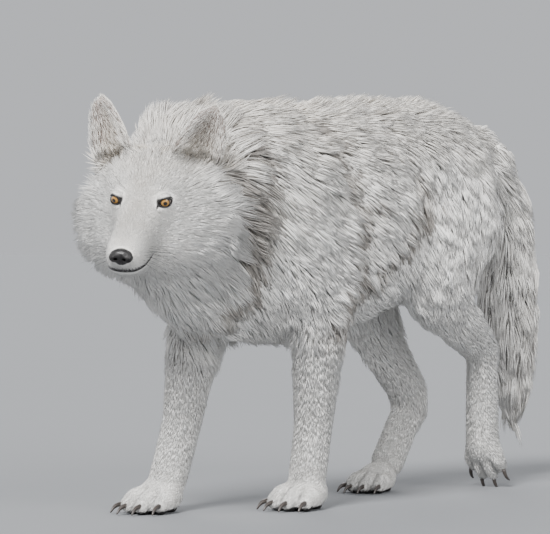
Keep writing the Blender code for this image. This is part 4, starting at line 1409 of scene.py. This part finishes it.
def strand_faces(rings):
    """Faces of one three-sided strand of so many rings and a tip."""
    faces = [(0, 2, 1, -1)]
    for ring in range(rings - 1):
        a, b = 3 * ring, 3 * (ring + 1)
        faces += [(a + k, a + (k + 1) % 3, b + (k + 1) % 3, b + k) for k in range(3)]
    a, tip = 3 * (rings - 1), 3 * rings
    faces += [(a + k, a + (k + 1) % 3, tip, -1) for k in range(3)]
    return np.array(faces)


def many_faces(rings, count):
    """The faces of that many such strands, one after another."""
    faces = strand_faces(rings)[None]
    starts = (np.arange(count) * (3 * rings + 1))[:, None, None]
    return np.where(faces >= 0, faces + starts, -1).reshape(-1, 4)


def strands(roots, controls, tips, across, half, thick, shares, profile):
    """Vertices of curved, tapered, flat strands, ring by ring, and how far along each ring lies."""
    rows = []
    for share, wide in zip(shares, profile):
        place = ((1 - share) ** 2 * roots + 2 * share * (1 - share) * controls + share ** 2 * tips)
        way = unit(2 * (1 - share) * (controls - roots) + 2 * share * (tips - controls))
        side = squared(across, way)
        crown = np.cross(way, side)
        w, t = (half * wide)[:, None], (thick * wide)[:, None]
        rows += [place - side * w - crown * t * 0.4, place + side * w - crown * t * 0.4,
                 place + crown * t]
    rows.append(tips)
    return np.stack(rows, axis=1)


# ---------------------------------------------------------------- whiskers
# Rows of whiskers on the upper lip, over the eye, on the cheek and under the chin, in the head's frame:
# first and last root, how many, direction and length.
WHISKER_ROWS = (
    ((0.030, -0.122, -0.050), (0.040, -0.086, -0.050), 5, (0.90, 0.20, -0.10), 0.062),
    ((0.030, -0.126, -0.056), (0.041, -0.084, -0.056), 5, (0.90, 0.15, -0.28), 0.070),
    ((0.029, -0.124, -0.062), (0.040, -0.088, -0.062), 4, (0.85, 0.10, -0.48), 0.060),
    ((0.032, 0.004, 0.020), (0.042, 0.010, 0.024), 3, (0.40, -0.20, 0.85), 0.036),
    ((0.062, -0.020, -0.052), (0.068, -0.010, -0.056), 2, (0.85, 0.10, -0.40), 0.046),
    ((0.010, -0.110, -0.100), (0.014, -0.096, -0.101), 2, (0.30, -0.25, -0.90), 0.026),
)
WHISKER_THICK, WHISKER_SPREAD, WHISKER_FAN = 0.00042, 0.10, 0.45


def whiskers(rng):
    """Every whisker, as one mesh: rows of curved strands that lean back and droop."""
    turn = HEAD_FRAME.to_3x3()
    roots, controls, tips = [], [], []
    for side in SIDES.values():
        for first, last, count, way, length in WHISKER_ROWS:
            for k in range(count):
                start = Vector(first).lerp(Vector(last), k / max(count - 1, 1))
                start.x *= side
                out = Vector((side * way[0], way[1], way[2]))
                out += Vector(rng.uniform(-WHISKER_SPREAD, WHISKER_SPREAD, 3))
                out.y += WHISKER_FAN * k / max(count - 1, 1)
                out = (turn @ out).normalized()
                hit, normal = on_skin(HEAD_FRAME @ start + out * 0.06, -out)
                long = length * rng.uniform(0.75, 1.15)
                droop = Vector((0, 0, -1)) * long * rng.uniform(0.08, 0.22)
                back = turn @ Vector((0, 1, 0)) * long * rng.uniform(0.05, 0.20)
                roots.append(hit - normal * 0.001)
                controls.append(hit + out * long * 0.5)
                tips.append(hit + out * long * 0.95 + droop + back)
    roots, controls, tips = (np.array(rows) for rows in (roots, controls, tips))
    across = unit(np.cross(tips - roots, (0.0, 0.0, 1.0)))
    shares = np.array((0, 0.14, 0.28, 0.42, 0.56, 0.70, 0.85))
    half = np.full(len(roots), WHISKER_THICK)
    verts = strands(roots, controls, tips, across, half, half, shares, (1 - shares) ** 0.8)
    along = np.append(np.repeat(shares, 3), 1.0)
    shade = np.tile((0.035 + 0.10 * along ** 2)[:, None], (len(roots), 3))
    places = np.column_stack([np.tile(along, len(roots)),
                              np.repeat(np.arange(len(roots)) * 0.03, len(along))])
    return mesh_of("whiskers", verts.reshape(-1, 3), many_faces(len(shares), len(roots)),
                   {"strand": places}, shade)


class WOLF_OT_whiskers(bpy.types.Operator):
    """Make the whiskers"""
    bl_idname = "wolf.whiskers"
    bl_label = "Whiskers"

    def execute(self, context):
        made, tree, shader = new_material("whisker", 0.35, Specular_IOR_Level=0.4)
        tint = node(tree, "ShaderNodeAttribute", attribute_name="tint")
        tree.links.new(shaded(tree, tint.outputs["Color"],
                              ranged(tree, noise(tree, 1.0, (6, 1, 1), "strand"), 0.8, 1.2)),
                       shader.inputs["Base Color"])
        finish_piece(whiskers(np.random.default_rng(11)), "whiskers", "coat", made)
        return {"FINISHED"}


# ---------------------------------------------------------------- coat
SEED = 7
ROOT_SINK = 0.0010          # how far under the skin a tuft starts
LID_HAIR = 0.0018           # how high the hair of the lids and ears stands
LOCK_LIFT = 0.015           # how much one lock may stand over the next
CROWDING = 0.72             # how much closer small tufts stand
PAST_BOX = 0.012            # how far past the solids' box hair may reach
MOST_BARE = 0.80            # skin barer than this has no hair
EAR_HAIR, EAR_WIDTH = 0.0130, 0.0019
# the coat is thinner in an ear's hollow, and painted shade darkens its hair there
EAR_SPARSE, EAR_SHADE = 0.55, 0.12      # how much thinner and darker the coat is in an ear's hollow
FACE_FINER, FACE_CLOSER = 0.08, 0.55    # how much narrower and closer the tufts of the face are
# Spans that tufts differ by: share of their length and width, of the height over the skin at the tip, of
# the raised places' height, of a large lock's lift, and of their brightness.
LENGTHS, WIDTHS, LIFTS, RAISES = (0.74, 1.22), (0.80, 1.20), (-0.45, 0.14), (0.6, 1.05)
LOCKS, LIGHTS = (-0.45, 0.55), (0.93, 1.05)
FRINGE_LONGER = 0.16        # how much longer the hair at the end of a tier is
MOST_RISE = 0.035           # highest a root may lie under the coat's outline
SMALL_LOCK, LARGE_LOCK = 0.17, 0.55     # a lock's spread beside its tufts' length
MOST_PULL, MOST_REACH = 0.85, 1.12      # of a lock on its tips, and of a tip from its root in lengths
ROLL, PHASES = 0.28, 40     # turn of a tuft about itself, and shifts of its fine hairs
GUARD_SHARE, GUARD_GREY = 0.6, 0.45     # how many of the grey places' tufts are guard hair, and how grey
# dark locks behind a tier's edge: part grey-tipped guard hair, part painted shade
STROKE_SHARE, STROKE_GREY_AND_SHADE = 0.75, 0.88  # the same of the locks in a fold
# Kinds of tuft: the shortest of each, where its rings lie, how wide they are, and how many to a piece.
TUFT_KINDS = (
    (0.000, (0.0,), (1.0,), 40000),
    (0.0135, (0.0, 0.46), (0.70, 1.0), 18000),
    (0.034, (0.0, 0.36, 0.72), (0.60, 1.0, 0.62), 12000),
)
PATCH = 0.003               # width of a tuft on the unwrap
OFF_FLOOR = 0.0006          # lowest that hair may lie
# Places where the hair stands up: the place, how far round it, and how much higher the tips stand.
RAISED = (
    ((-0.130, -0.270, 0.705), 0.075, 0.036), ((-0.075, -0.285, 0.755), 0.060, 0.042),
    ((-0.010, -0.270, 0.780), 0.060, 0.038), ((0.050, -0.240, 0.775), 0.055, 0.020),
    ((0.120, -0.230, 0.710), 0.060, 0.014),
    ((0.000, 0.100, 0.800), 0.120, 0.006), ((0.000, 0.280, 0.800), 0.120, 0.008),
    ((0.000, 0.440, 0.800), 0.120, 0.013), ((0.000, 0.550, 0.785), 0.085, 0.009),
    ((0.000, -0.360, 0.400), 0.090, 0.012), ((0.000, -0.250, 0.340), 0.100, 0.014),
    ((0.070, -0.130, 0.335), 0.090, 0.014), ((-0.070, -0.130, 0.335), 0.090, 0.012),
)


def fringe(points):
    """How far the points belong to the longer hair that ends a tier, 0 to 1."""
    share = np.zeros(len(points))
    for behind, here, _, _ in tier_edges(points):
        share = np.maximum(share, here * smoothstep(behind, -0.060, -0.015) * (behind < 0))
    return share


def tip_lift(points):
    """How far the tips of the hair rooted at the points stand off the coat's outline."""
    laid = points - SHIFT
    lift = np.zeros(len(points))
    for place, reach, rise in RAISED:
        apart = np.linalg.norm(laid - place, axis=1) / reach
        lift = np.maximum(lift, rise * (1 - smoothstep(apart, 0.35, 1.0)))
    lower = np.zeros(len(points))
    for behind, here, rise, dip in tier_edges(points):
        lift = np.maximum(lift, here * rise * smoothstep(behind, -0.060, -0.005) * (behind < 0))
        lower = np.maximum(lower, here * dip * (1 - smoothstep(behind, 0.070, 0.130)) * (behind >= 0))
    return lift - lower


def ear_hair(fields, side):
    """Lays an ear's hair to its tip: short behind and at the tip, longer within, sparse in the hollow."""
    on_ear, local = in_ear(fields["place"], side)
    turn = np.array(ear_frame(side).to_3x3())
    up = np.clip(local[:, 2] / EAR_HEIGHT, 0, 1)
    edge = np.clip(np.abs(local[:, 0]) / (EAR_HALF_WIDTH * (1 - up ** 2.2) ** 0.55 + 0.004), 0, 1)
    inner = smoothstep(-(fields["normal"] @ turn)[:, 1], -0.05, 0.35)
    share = smoothstep(local[:, 2], -0.010, 0.014) * on_ear
    way = np.column_stack([np.sign(local[:, 0]) * (0.15 - 0.75 * inner) * edge, -0.35 * inner,
                           np.ones(len(local))])
    fields["lie"] = unit(mixed(fields["lie"], unit(way @ turn.T), share[:, None]))
    hair = mixed(EAR_HAIR, 0.0110 + 0.030 * (1 - up) ** 1.5 * (0.55 + 0.45 * edge), inner)
    fields["length"] = mixed(fields["length"], hair, share) * (1 - 0.45 * share * smoothstep(up, 0.72, 1.0))
    fields["width"] = mixed(fields["width"], EAR_WIDTH - 0.0003 * inner, share)
    fields["free"] = np.maximum(fields["free"], share)
    fields["out"] += share * inner * (0.0030 + 0.003 * edge + 0.007 * (1 - smoothstep(up, 0.0, 0.30)))
    fields["hollow"] += share * inner * (1 - smoothstep(edge, 0.50, 0.85)) * smoothstep(up, 0.02, 0.20)


def eye_hair(fields, side):
    """Lays the hair round an eye away from it, short and close to the lids."""
    placed = eye_frame(side)
    near = into(placed, fields["place"])
    apart = np.linalg.norm(near, axis=1)
    away = unit(near * (1, 0, 1)) @ np.array(placed.to_3x3()).T
    share = 0.8 * (1 - smoothstep(eye_ring(near * (side, 1, 1)), 1.2, 2.6)) * (near[:, 1] < 0.004)
    fields["lie"] = unit(mixed(fields["lie"], away, share[:, None]))
    fields["length"] = fields["length"] * (1 - 0.65 * share)
    fields["free"] = np.maximum(fields["free"], 1 - smoothstep(apart, 0.0175, 0.0260))
    fields["bald"] |= apart < EYE_RADIUS + 0.0004


def bald_soles(fields):
    for name in PAWS:
        sole = into(paw_frame(name), fields["place"])
        down = -(fields["normal"] @ np.array(paw_frame(name).to_3x3()))[:, 2]
        fields["bald"] |= (down > 0.55) & (sole[:, 2] < 0.020) & within(sole, *SOLE_BOX)


def fur_fields(made):
    """What the hair is like at each point of the skin."""
    places, normals = arrays(made.data)
    edges = edges_of(made.data)
    normals = unit(relax(normals, edges, 3, 0.5))
    lies, rest = coat_at(places)
    out, free, hollow = np.zeros((3, len(places)))
    fields = {"place": places, "normal": normals, "lie": lies, "length": rest[:, LENGTH],
              "width": rest[:, WIDTH], "grey": rest[:, GREY], "fold_shade": fold_shade_depth(places), "out": out,
              "free": free, "hollow": hollow,
              "bald": (bare_share(places) > MOST_BARE) | (nose_ring(places) < 1.02)}
    for side in SIDES.values():
        ear_hair(fields, side)
        eye_hair(fields, side)
    bald_soles(fields)
    lies = squared(fields["lie"], normals)
    for _ in range(4):
        lies = squared(relax(lies, edges, 6, 0.5 - 0.3 * fields["free"][:, None]), normals)
    local = into(HEAD_FRAME, places)
    face = (1 - smoothstep(local[:, 1], 0.05, 0.11)) * smoothstep(local[:, 2], -0.17, -0.12) \
        * (np.abs(local[:, 0]) < 0.19)
    hollow, bald = fields.pop("hollow"), fields.pop("bald")
    fields["lie"] = lies
    fields["width"] = fields["width"] * (1 - FACE_FINER * face)
    fields["keep"] = np.where(bald, 0.0, (1 - EAR_SPARSE * hollow) * (1 + FACE_CLOSER * face))
    # painted shade in the ears' hollows
    fields["colour"] = markings_and_shade(places, rest[:, (CREAM, GREY)]) * (1 - EAR_SHADE * hollow)[:, None]
    return fields


def sown(made, fields, count, rng):
    """Roots spread over the skin, closer where the tufts are small, with the fields at each."""
    mesh = made.data
    mesh.calc_loop_triangles()
    total = len(mesh.loop_triangles)
    corners, loops = np.empty(total * 3, np.int32), np.empty(total * 3, np.int32)
    mesh.loop_triangles.foreach_get("vertices", corners)
    mesh.loop_triangles.foreach_get("loops", loops)
    corners, loops = corners.reshape(-1, 3), loops.reshape(-1, 3)
    unwrap = np.empty(len(mesh.loops) * 2, np.float32)
    mesh.uv_layers["OFBake"].data.foreach_get("uv", unwrap)
    unwrap = unwrap.reshape(-1, 2).astype(float)
    a, b, c = (fields["place"][corners[:, k]] for k in range(3))
    area = np.linalg.norm(np.cross(b - a, c - a), axis=1) / 2
    length, width = (fields[key][corners].mean(1) for key in ("length", "width"))
    closeness = (length * width) ** -CROWDING * fields["keep"][corners].min(1)
    weight = area * closeness
    ends = np.cumsum(weight)
    at = (np.arange(count) + rng.uniform(0, 1, count)) / count * ends[-1]
    face = np.minimum(np.searchsorted(ends, at), total - 1)
    u, v = rng.uniform(0, 1, count), rng.uniform(0, 1, count)
    flip = u + v > 1
    u, v = np.where(flip, 1 - u, u), np.where(flip, 1 - v, v)
    share = np.column_stack([1 - u - v, u, v])
    found = {}
    for key, values in fields.items():
        picked = values[corners[face]]
        found[key] = (picked * share.reshape(share.shape + (1,) * (picked.ndim - 2))).sum(1)
    for key in ("normal", "lie"):
        found[key] = unit(found[key])
    found["unwrap"] = (unwrap[loops[face]] * share[..., None]).sum(1)
    found["per_area"] = closeness[face] / ends[-1] * count
    return found


def nearest(tree, points):
    """The nearest places of the tree's surface, its normals there and the distances."""
    places, normals, apart = np.empty_like(points), np.empty_like(points), np.empty(len(points))
    for k, point in enumerate(points):
        place, normal, _, distance = tree.find_nearest(point)
        places[k], normals[k], apart[k] = place, normal, distance
    return places, normals, apart


def gathered(tufts, tips, spread, strength, rng):
    """Draws each tip towards that of a nearby leading tuft, so that locks form."""
    chance = 1 / (tufts["per_area"] * (spread * tufts["length"]) ** 2)
    leads = np.nonzero(rng.uniform(0, 1, len(tips)) < chance)[0]
    found = kdtree.KDTree(len(leads))
    for k, lead in enumerate(leads):
        found.insert(tufts["place"][lead] + tufts["normal"][lead] * 0.004, k)
    found.balance()
    leader = leads[[found.find(point)[1] for point in tufts["place"] + tufts["normal"] * 0.004]]
    apart = np.linalg.norm(tufts["place"][leader] - tufts["place"], axis=1)
    pull = strength * (1 - smoothstep(apart / np.maximum(tufts["length"], 1e-6), 0.45, 0.95))
    pull *= 0.65 + 0.35 * rng.uniform(0, 1, len(leads))[np.searchsorted(leads, leader)]
    return tips + (tips[leader] - tips) * pull[:, None], leader


def coloured(tufts, small, large, coat, rng):
    """The tufts' colours: uneven from lock to lock, with dark guard hair, and dark locks in the folds that
    are part guard hair and part painted shade.
    """
    count = len(small)
    light = rng.uniform(*LIGHTS, count) * (1 + 0.03 * np.sin(small * 1.7) + 0.025 * np.sin(large * 2.3))
    guard = (rng.uniform(0, 1, count) < tufts["grey"] * GUARD_SHARE) * GUARD_GREY
    # dark locks in the folds: part guard hair, part painted shade
    stroke_and_shade = (rng.uniform(0, 1, count)[small] < STROKE_SHARE * tufts["fold_shade"]) * STROKE_GREY_AND_SHADE
    colour = mixed(tufts["colour"], np.array(coat.grey), np.maximum(guard, stroke_and_shade)[:, None])
    return np.clip(colour * light[:, None], 0, 0.95)


def grow(made, coat, rng):
    """Every tuft of the coat: its curve, size, colour and place on the unwrap."""
    tufts = sown(made, fur_fields(made), coat.tufts, rng)
    count = len(tufts["length"])
    tufts["length"] = tufts["length"] * coat.length * rng.uniform(*LENGTHS, count)
    tufts["width"] = tufts["width"] * rng.uniform(*WIDTHS, count)
    ending = fringe(tufts["place"])
    tufts["length"] = tufts["length"] * (1 + FRINGE_LONGER * ending)
    root, normal, lie, length = (tufts[key] for key in ("place", "normal", "lie", "length"))
    _, _, rise = nearest(FORMS["outline"], root)
    rise = np.minimum(rise, MOST_RISE)
    long = smoothstep(length, 0.014, 0.050)
    sway = (rng.normal(0, 1, count) * (0.05 + 0.06 * long))[:, None]
    lie = unit(lie + np.cross(lie, normal) * sway)
    # The tip lies on the coat's outline, over or under it as its lock does.
    aim = root + normal * rise[:, None] + lie * (length * 0.93)[:, None]
    tip, outward, _ = nearest(FORMS["outline"], aim)
    astray = ((outward * normal).sum(1) < 0.15)[:, None]
    tip, outward = np.where(astray, aim, tip), np.where(astray, normal, outward)
    raised = tip_lift(root)
    lift = rise * rng.uniform(*LIFTS, count) * (0.5 + 0.5 * long) + raised * rng.uniform(*RAISES, count)
    tip = tip + outward * (lift + tufts["out"])[:, None]
    # On the lids and ears the hair follows the skin instead.
    close = root + lie * (length * 0.9)[:, None] + normal * (LID_HAIR + tufts["out"])[:, None]
    tip = mixed(tip, close, tufts["free"][:, None])
    tip, small = gathered(tufts, tip, SMALL_LOCK, coat.clump * (0.35 + 0.95 * long), rng)
    pull = np.minimum(coat.clump * long * (0.95 + ending), MOST_PULL)
    tip, large = gathered(tufts, tip, LARGE_LOCK, pull, rng)
    lock = rng.uniform(*LOCKS, count)[large]
    lock = lock * long * (1 + 0.6 * ending) * (1 - 0.8 * smoothstep(raised, 0.012, 0.032))
    tip = tip + outward * (lock * LOCK_LIFT)[:, None]
    reach = tip - root
    span = np.linalg.norm(reach, axis=1, keepdims=True)
    tip = root + reach * np.clip(length[:, None] * MOST_REACH / np.maximum(span, 1e-6), 0, 1)
    low, high = np.array(CAD_BOX)
    tip = np.clip(tip, low - PAST_BOX, high + PAST_BOX)
    bulge = mixed(rise * 0.80, LID_HAIR, tufts["free"]) + tufts["out"]
    middle = root + normal * bulge[:, None] + lie * (length * 0.30)[:, None]
    roll = rng.normal(0, ROLL, count)[:, None]
    tufts.update(
        root=root - normal * ROOT_SINK, middle=middle, tip=tip,
        across=unit(np.cross(normal, lie) + normal * roll),
        half=tufts["width"] * (0.34 + 0.03 * long), thick=tufts["width"] * 0.20,
        colour=coloured(tufts, small, large, coat, rng), phase=rng.uniform(0, PHASES, count))
    return tufts


def coat_mesh(name, tufts, chosen, shares, profile):
    """One piece of the coat from the chosen tufts."""
    verts = strands(*(tufts[key][chosen] for key in ("root", "middle", "tip", "across", "half", "thick")),
                    shares, profile)
    verts[..., 2] = np.maximum(verts[..., 2], OFF_FLOOR)
    along = np.append(np.repeat(shares, 3), 1.0)
    side = np.append(np.tile((0.0, 1.0, 0.5), len(shares)), 0.5)
    patch = tufts["unwrap"][chosen, None] + np.column_stack([side - 0.5, along])[None] * PATCH
    strand = np.column_stack([side * 0.35, along])[None] + tufts["phase"][chosen, None, None] * (1.0, 0.37)
    # painted shade: each tuft darker towards its root, deep in the coat
    shade = 0.88 + 0.12 * along ** 0.7      # darker at the root
    tint = tufts["colour"][chosen, None] * shade[None, :, None]
    return mesh_of(name, verts.reshape(-1, 3), many_faces(len(shares), len(chosen)),
                   {"OFBake": patch.reshape(-1, 2), "strand": strand.reshape(-1, 2)}, tint.reshape(-1, 3))


# The coat's pieces and the nodes whose hair each carries.
COAT_PARTS = {
    "head": ("head", "lower_jaw"), "ears": ("ear_left", "ear_right"), "neck": ("neck",), "chest": ("chest",),
    "belly": ("belly",), "rump": ("rump",), "tail": ("tail",),
    "forelegs": tuple(f"foreleg_{side}_{part}" for side in SIDES for part in ("upper", "lower")),
    "hindlegs": tuple(f"{part}_{side}" for side in SIDES for part in ("thigh", "shank", "metatarsus")),
    "paws": PAWS,
}


def node_owners(points):
    """Which piece of the coat each point belongs to, by the nearest node of flesh."""
    names = list(COAT_PARTS)
    verts, faces, owners = [], [], []
    for index, parts in enumerate(COAT_PARTS.values()):
        for part in parts:
            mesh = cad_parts[part].data
            base = len(verts)
            verts += [vert.co.copy() for vert in mesh.vertices]
            for polygon in mesh.polygons:
                faces.append([base + corner for corner in polygon.vertices])
                owners.append(index)
    tree = BVHTree.FromPolygons(verts, faces)
    return names, np.array([owners[tree.find_nearest(point)[2]] for point in points])


class WOLF_OT_coat(bpy.types.Operator):
    """Make the coat, tuft by tuft"""
    bl_idname = "wolf.coat"
    bl_label = "Coat"

    def execute(self, context):
        rng = np.random.default_rng(SEED)
        tufts = grow(FORMS["skin"], context.scene.wolf_coat, rng)
        fur = coat_material()
        names, owner = node_owners(tufts["place"])
        for index, name in enumerate(names):
            mine = np.nonzero(owner == index)[0]
            kind = np.searchsorted([row[0] for row in TUFT_KINDS], tufts["length"][mine]) - 1
            if name == "head":      # fine and close rather than long
                kind = np.minimum(kind, 1)
            number = 0
            for step, (_, shares, profile, most) in enumerate(TUFT_KINDS):
                group = mine[kind == step]
                for start in range(0, len(group), most):
                    number += 1
                    made = coat_mesh("coat", tufts, group[start:start + most], np.array(shares), profile)
                    finish_piece(made, f"coat_{name}_{number}", "coat", fur)
        return {"FINISHED"}


# ---------------------------------------------------------------- stage
FLOOR_SIZE = 400
SKY, SKY_STRENGTH = (0.86, 0.88, 0.92, 1.0), 0.69
# Each light: where it shines from, how many degrees wide it is, and its strength.
SUNS = (
    ("key", (1.2, -4.4, 4.4), 20.0, 6.0),
    ("side", (4.8, -0.8, 2.6), 45.0, 2.0),
    ("fill", (-4.4, -2.6, 2.4), 60.0, 0.7),
    ("back", (-3.2, 4.0, 3.6), 30.0, 1.0),
)


def soft_sun(name, place, angle, power):
    """A wide, far light shining from the place to the middle of the floor."""
    deselect()
    bpy.ops.object.light_add(type="SUN", location=place)
    made = bpy.context.object
    made.name = name
    made.data.angle = angle
    made.data.energy = power
    made.rotation_euler = (-Vector(place)).to_track_quat("-Z", "Y").to_euler()


class WOLF_OT_stage(bpy.types.Operator):
    """Make the floor, the lights and the camera"""
    bl_idname = "wolf.stage"
    bl_label = "Stage"

    def execute(self, context):
        stage = context.scene.wolf_stage
        deselect()
        bpy.ops.mesh.primitive_plane_add(size=FLOOR_SIZE, location=(0, 0, 0))
        floor = context.object
        floor.name = floor.data.name = "floor"
        floor.data.materials.append(studio_material(stage.floor))
        settle(floor)
        for name, place, softness, power in SUNS:
            soft_sun(name, place, math.radians(softness), power)
        world = bpy.data.worlds.new("studio")
        context.scene.world = world
        world.use_nodes = True
        sky = world.node_tree.nodes["Background"]
        sky.inputs["Color"].default_value = SKY
        sky.inputs["Strength"].default_value = SKY_STRENGTH
        deselect()
        bpy.ops.object.camera_add(location=stage.camera, rotation=(math.pi / 2 - stage.tilt, 0, stage.turn))
        camera = context.object
        camera.name = camera.data.name = "camera"
        camera.data.lens = stage.lens
        camera.data.clip_end = FLOOR_SIZE
        context.scene.camera = camera
        return {"FINISHED"}


STEPS = (WOLF_OT_stage, WOLF_OT_skin, WOLF_OT_eyes, WOLF_OT_nose, WOLF_OT_lips, WOLF_OT_claws, WOLF_OT_pads,
         WOLF_OT_whiskers, WOLF_OT_coat)


class WOLF_PT_panel(bpy.types.Panel):
    """The wolf's settings and steps"""
    bl_label = "Wolf"
    bl_idname = "WOLF_PT_panel"
    bl_space_type = "VIEW_3D"
    bl_region_type = "UI"
    bl_category = "Wolf"

    def draw(self, context):
        for group in ("wolf_coat", "wolf_face", "wolf_stage"):
            settings = getattr(context.scene, group)
            box = self.layout.box()
            for key in settings.bl_rna.properties.keys():
                if key not in ("rna_type", "name"):
                    box.prop(settings, key)
        for step in STEPS:
            self.layout.operator(step.bl_idname)


CLASSES = (WolfCoat, WolfFace, WolfStage, *STEPS, WOLF_PT_panel)


def register():
    for each in CLASSES:
        bpy.utils.register_class(each)
    bpy.types.Scene.wolf_coat = PointerProperty(type=WolfCoat)
    bpy.types.Scene.wolf_face = PointerProperty(type=WolfFace)
    bpy.types.Scene.wolf_stage = PointerProperty(type=WolfStage)


def unregister():
    for key in ("wolf_coat", "wolf_face", "wolf_stage"):
        delattr(bpy.types.Scene, key)
    for each in reversed(CLASSES):
        bpy.utils.unregister_class(each)


def main():
    register()
    bpy.ops.wolf.stage()
    bpy.ops.wolf.skin()
    bpy.ops.wolf.eyes()
    bpy.ops.wolf.nose()
    bpy.ops.wolf.lips()
    bpy.ops.wolf.claws()
    bpy.ops.wolf.pads()
    bpy.ops.wolf.whiskers()
    bpy.ops.wolf.coat()
    deselect()


if __name__ == "__main__":
    main()
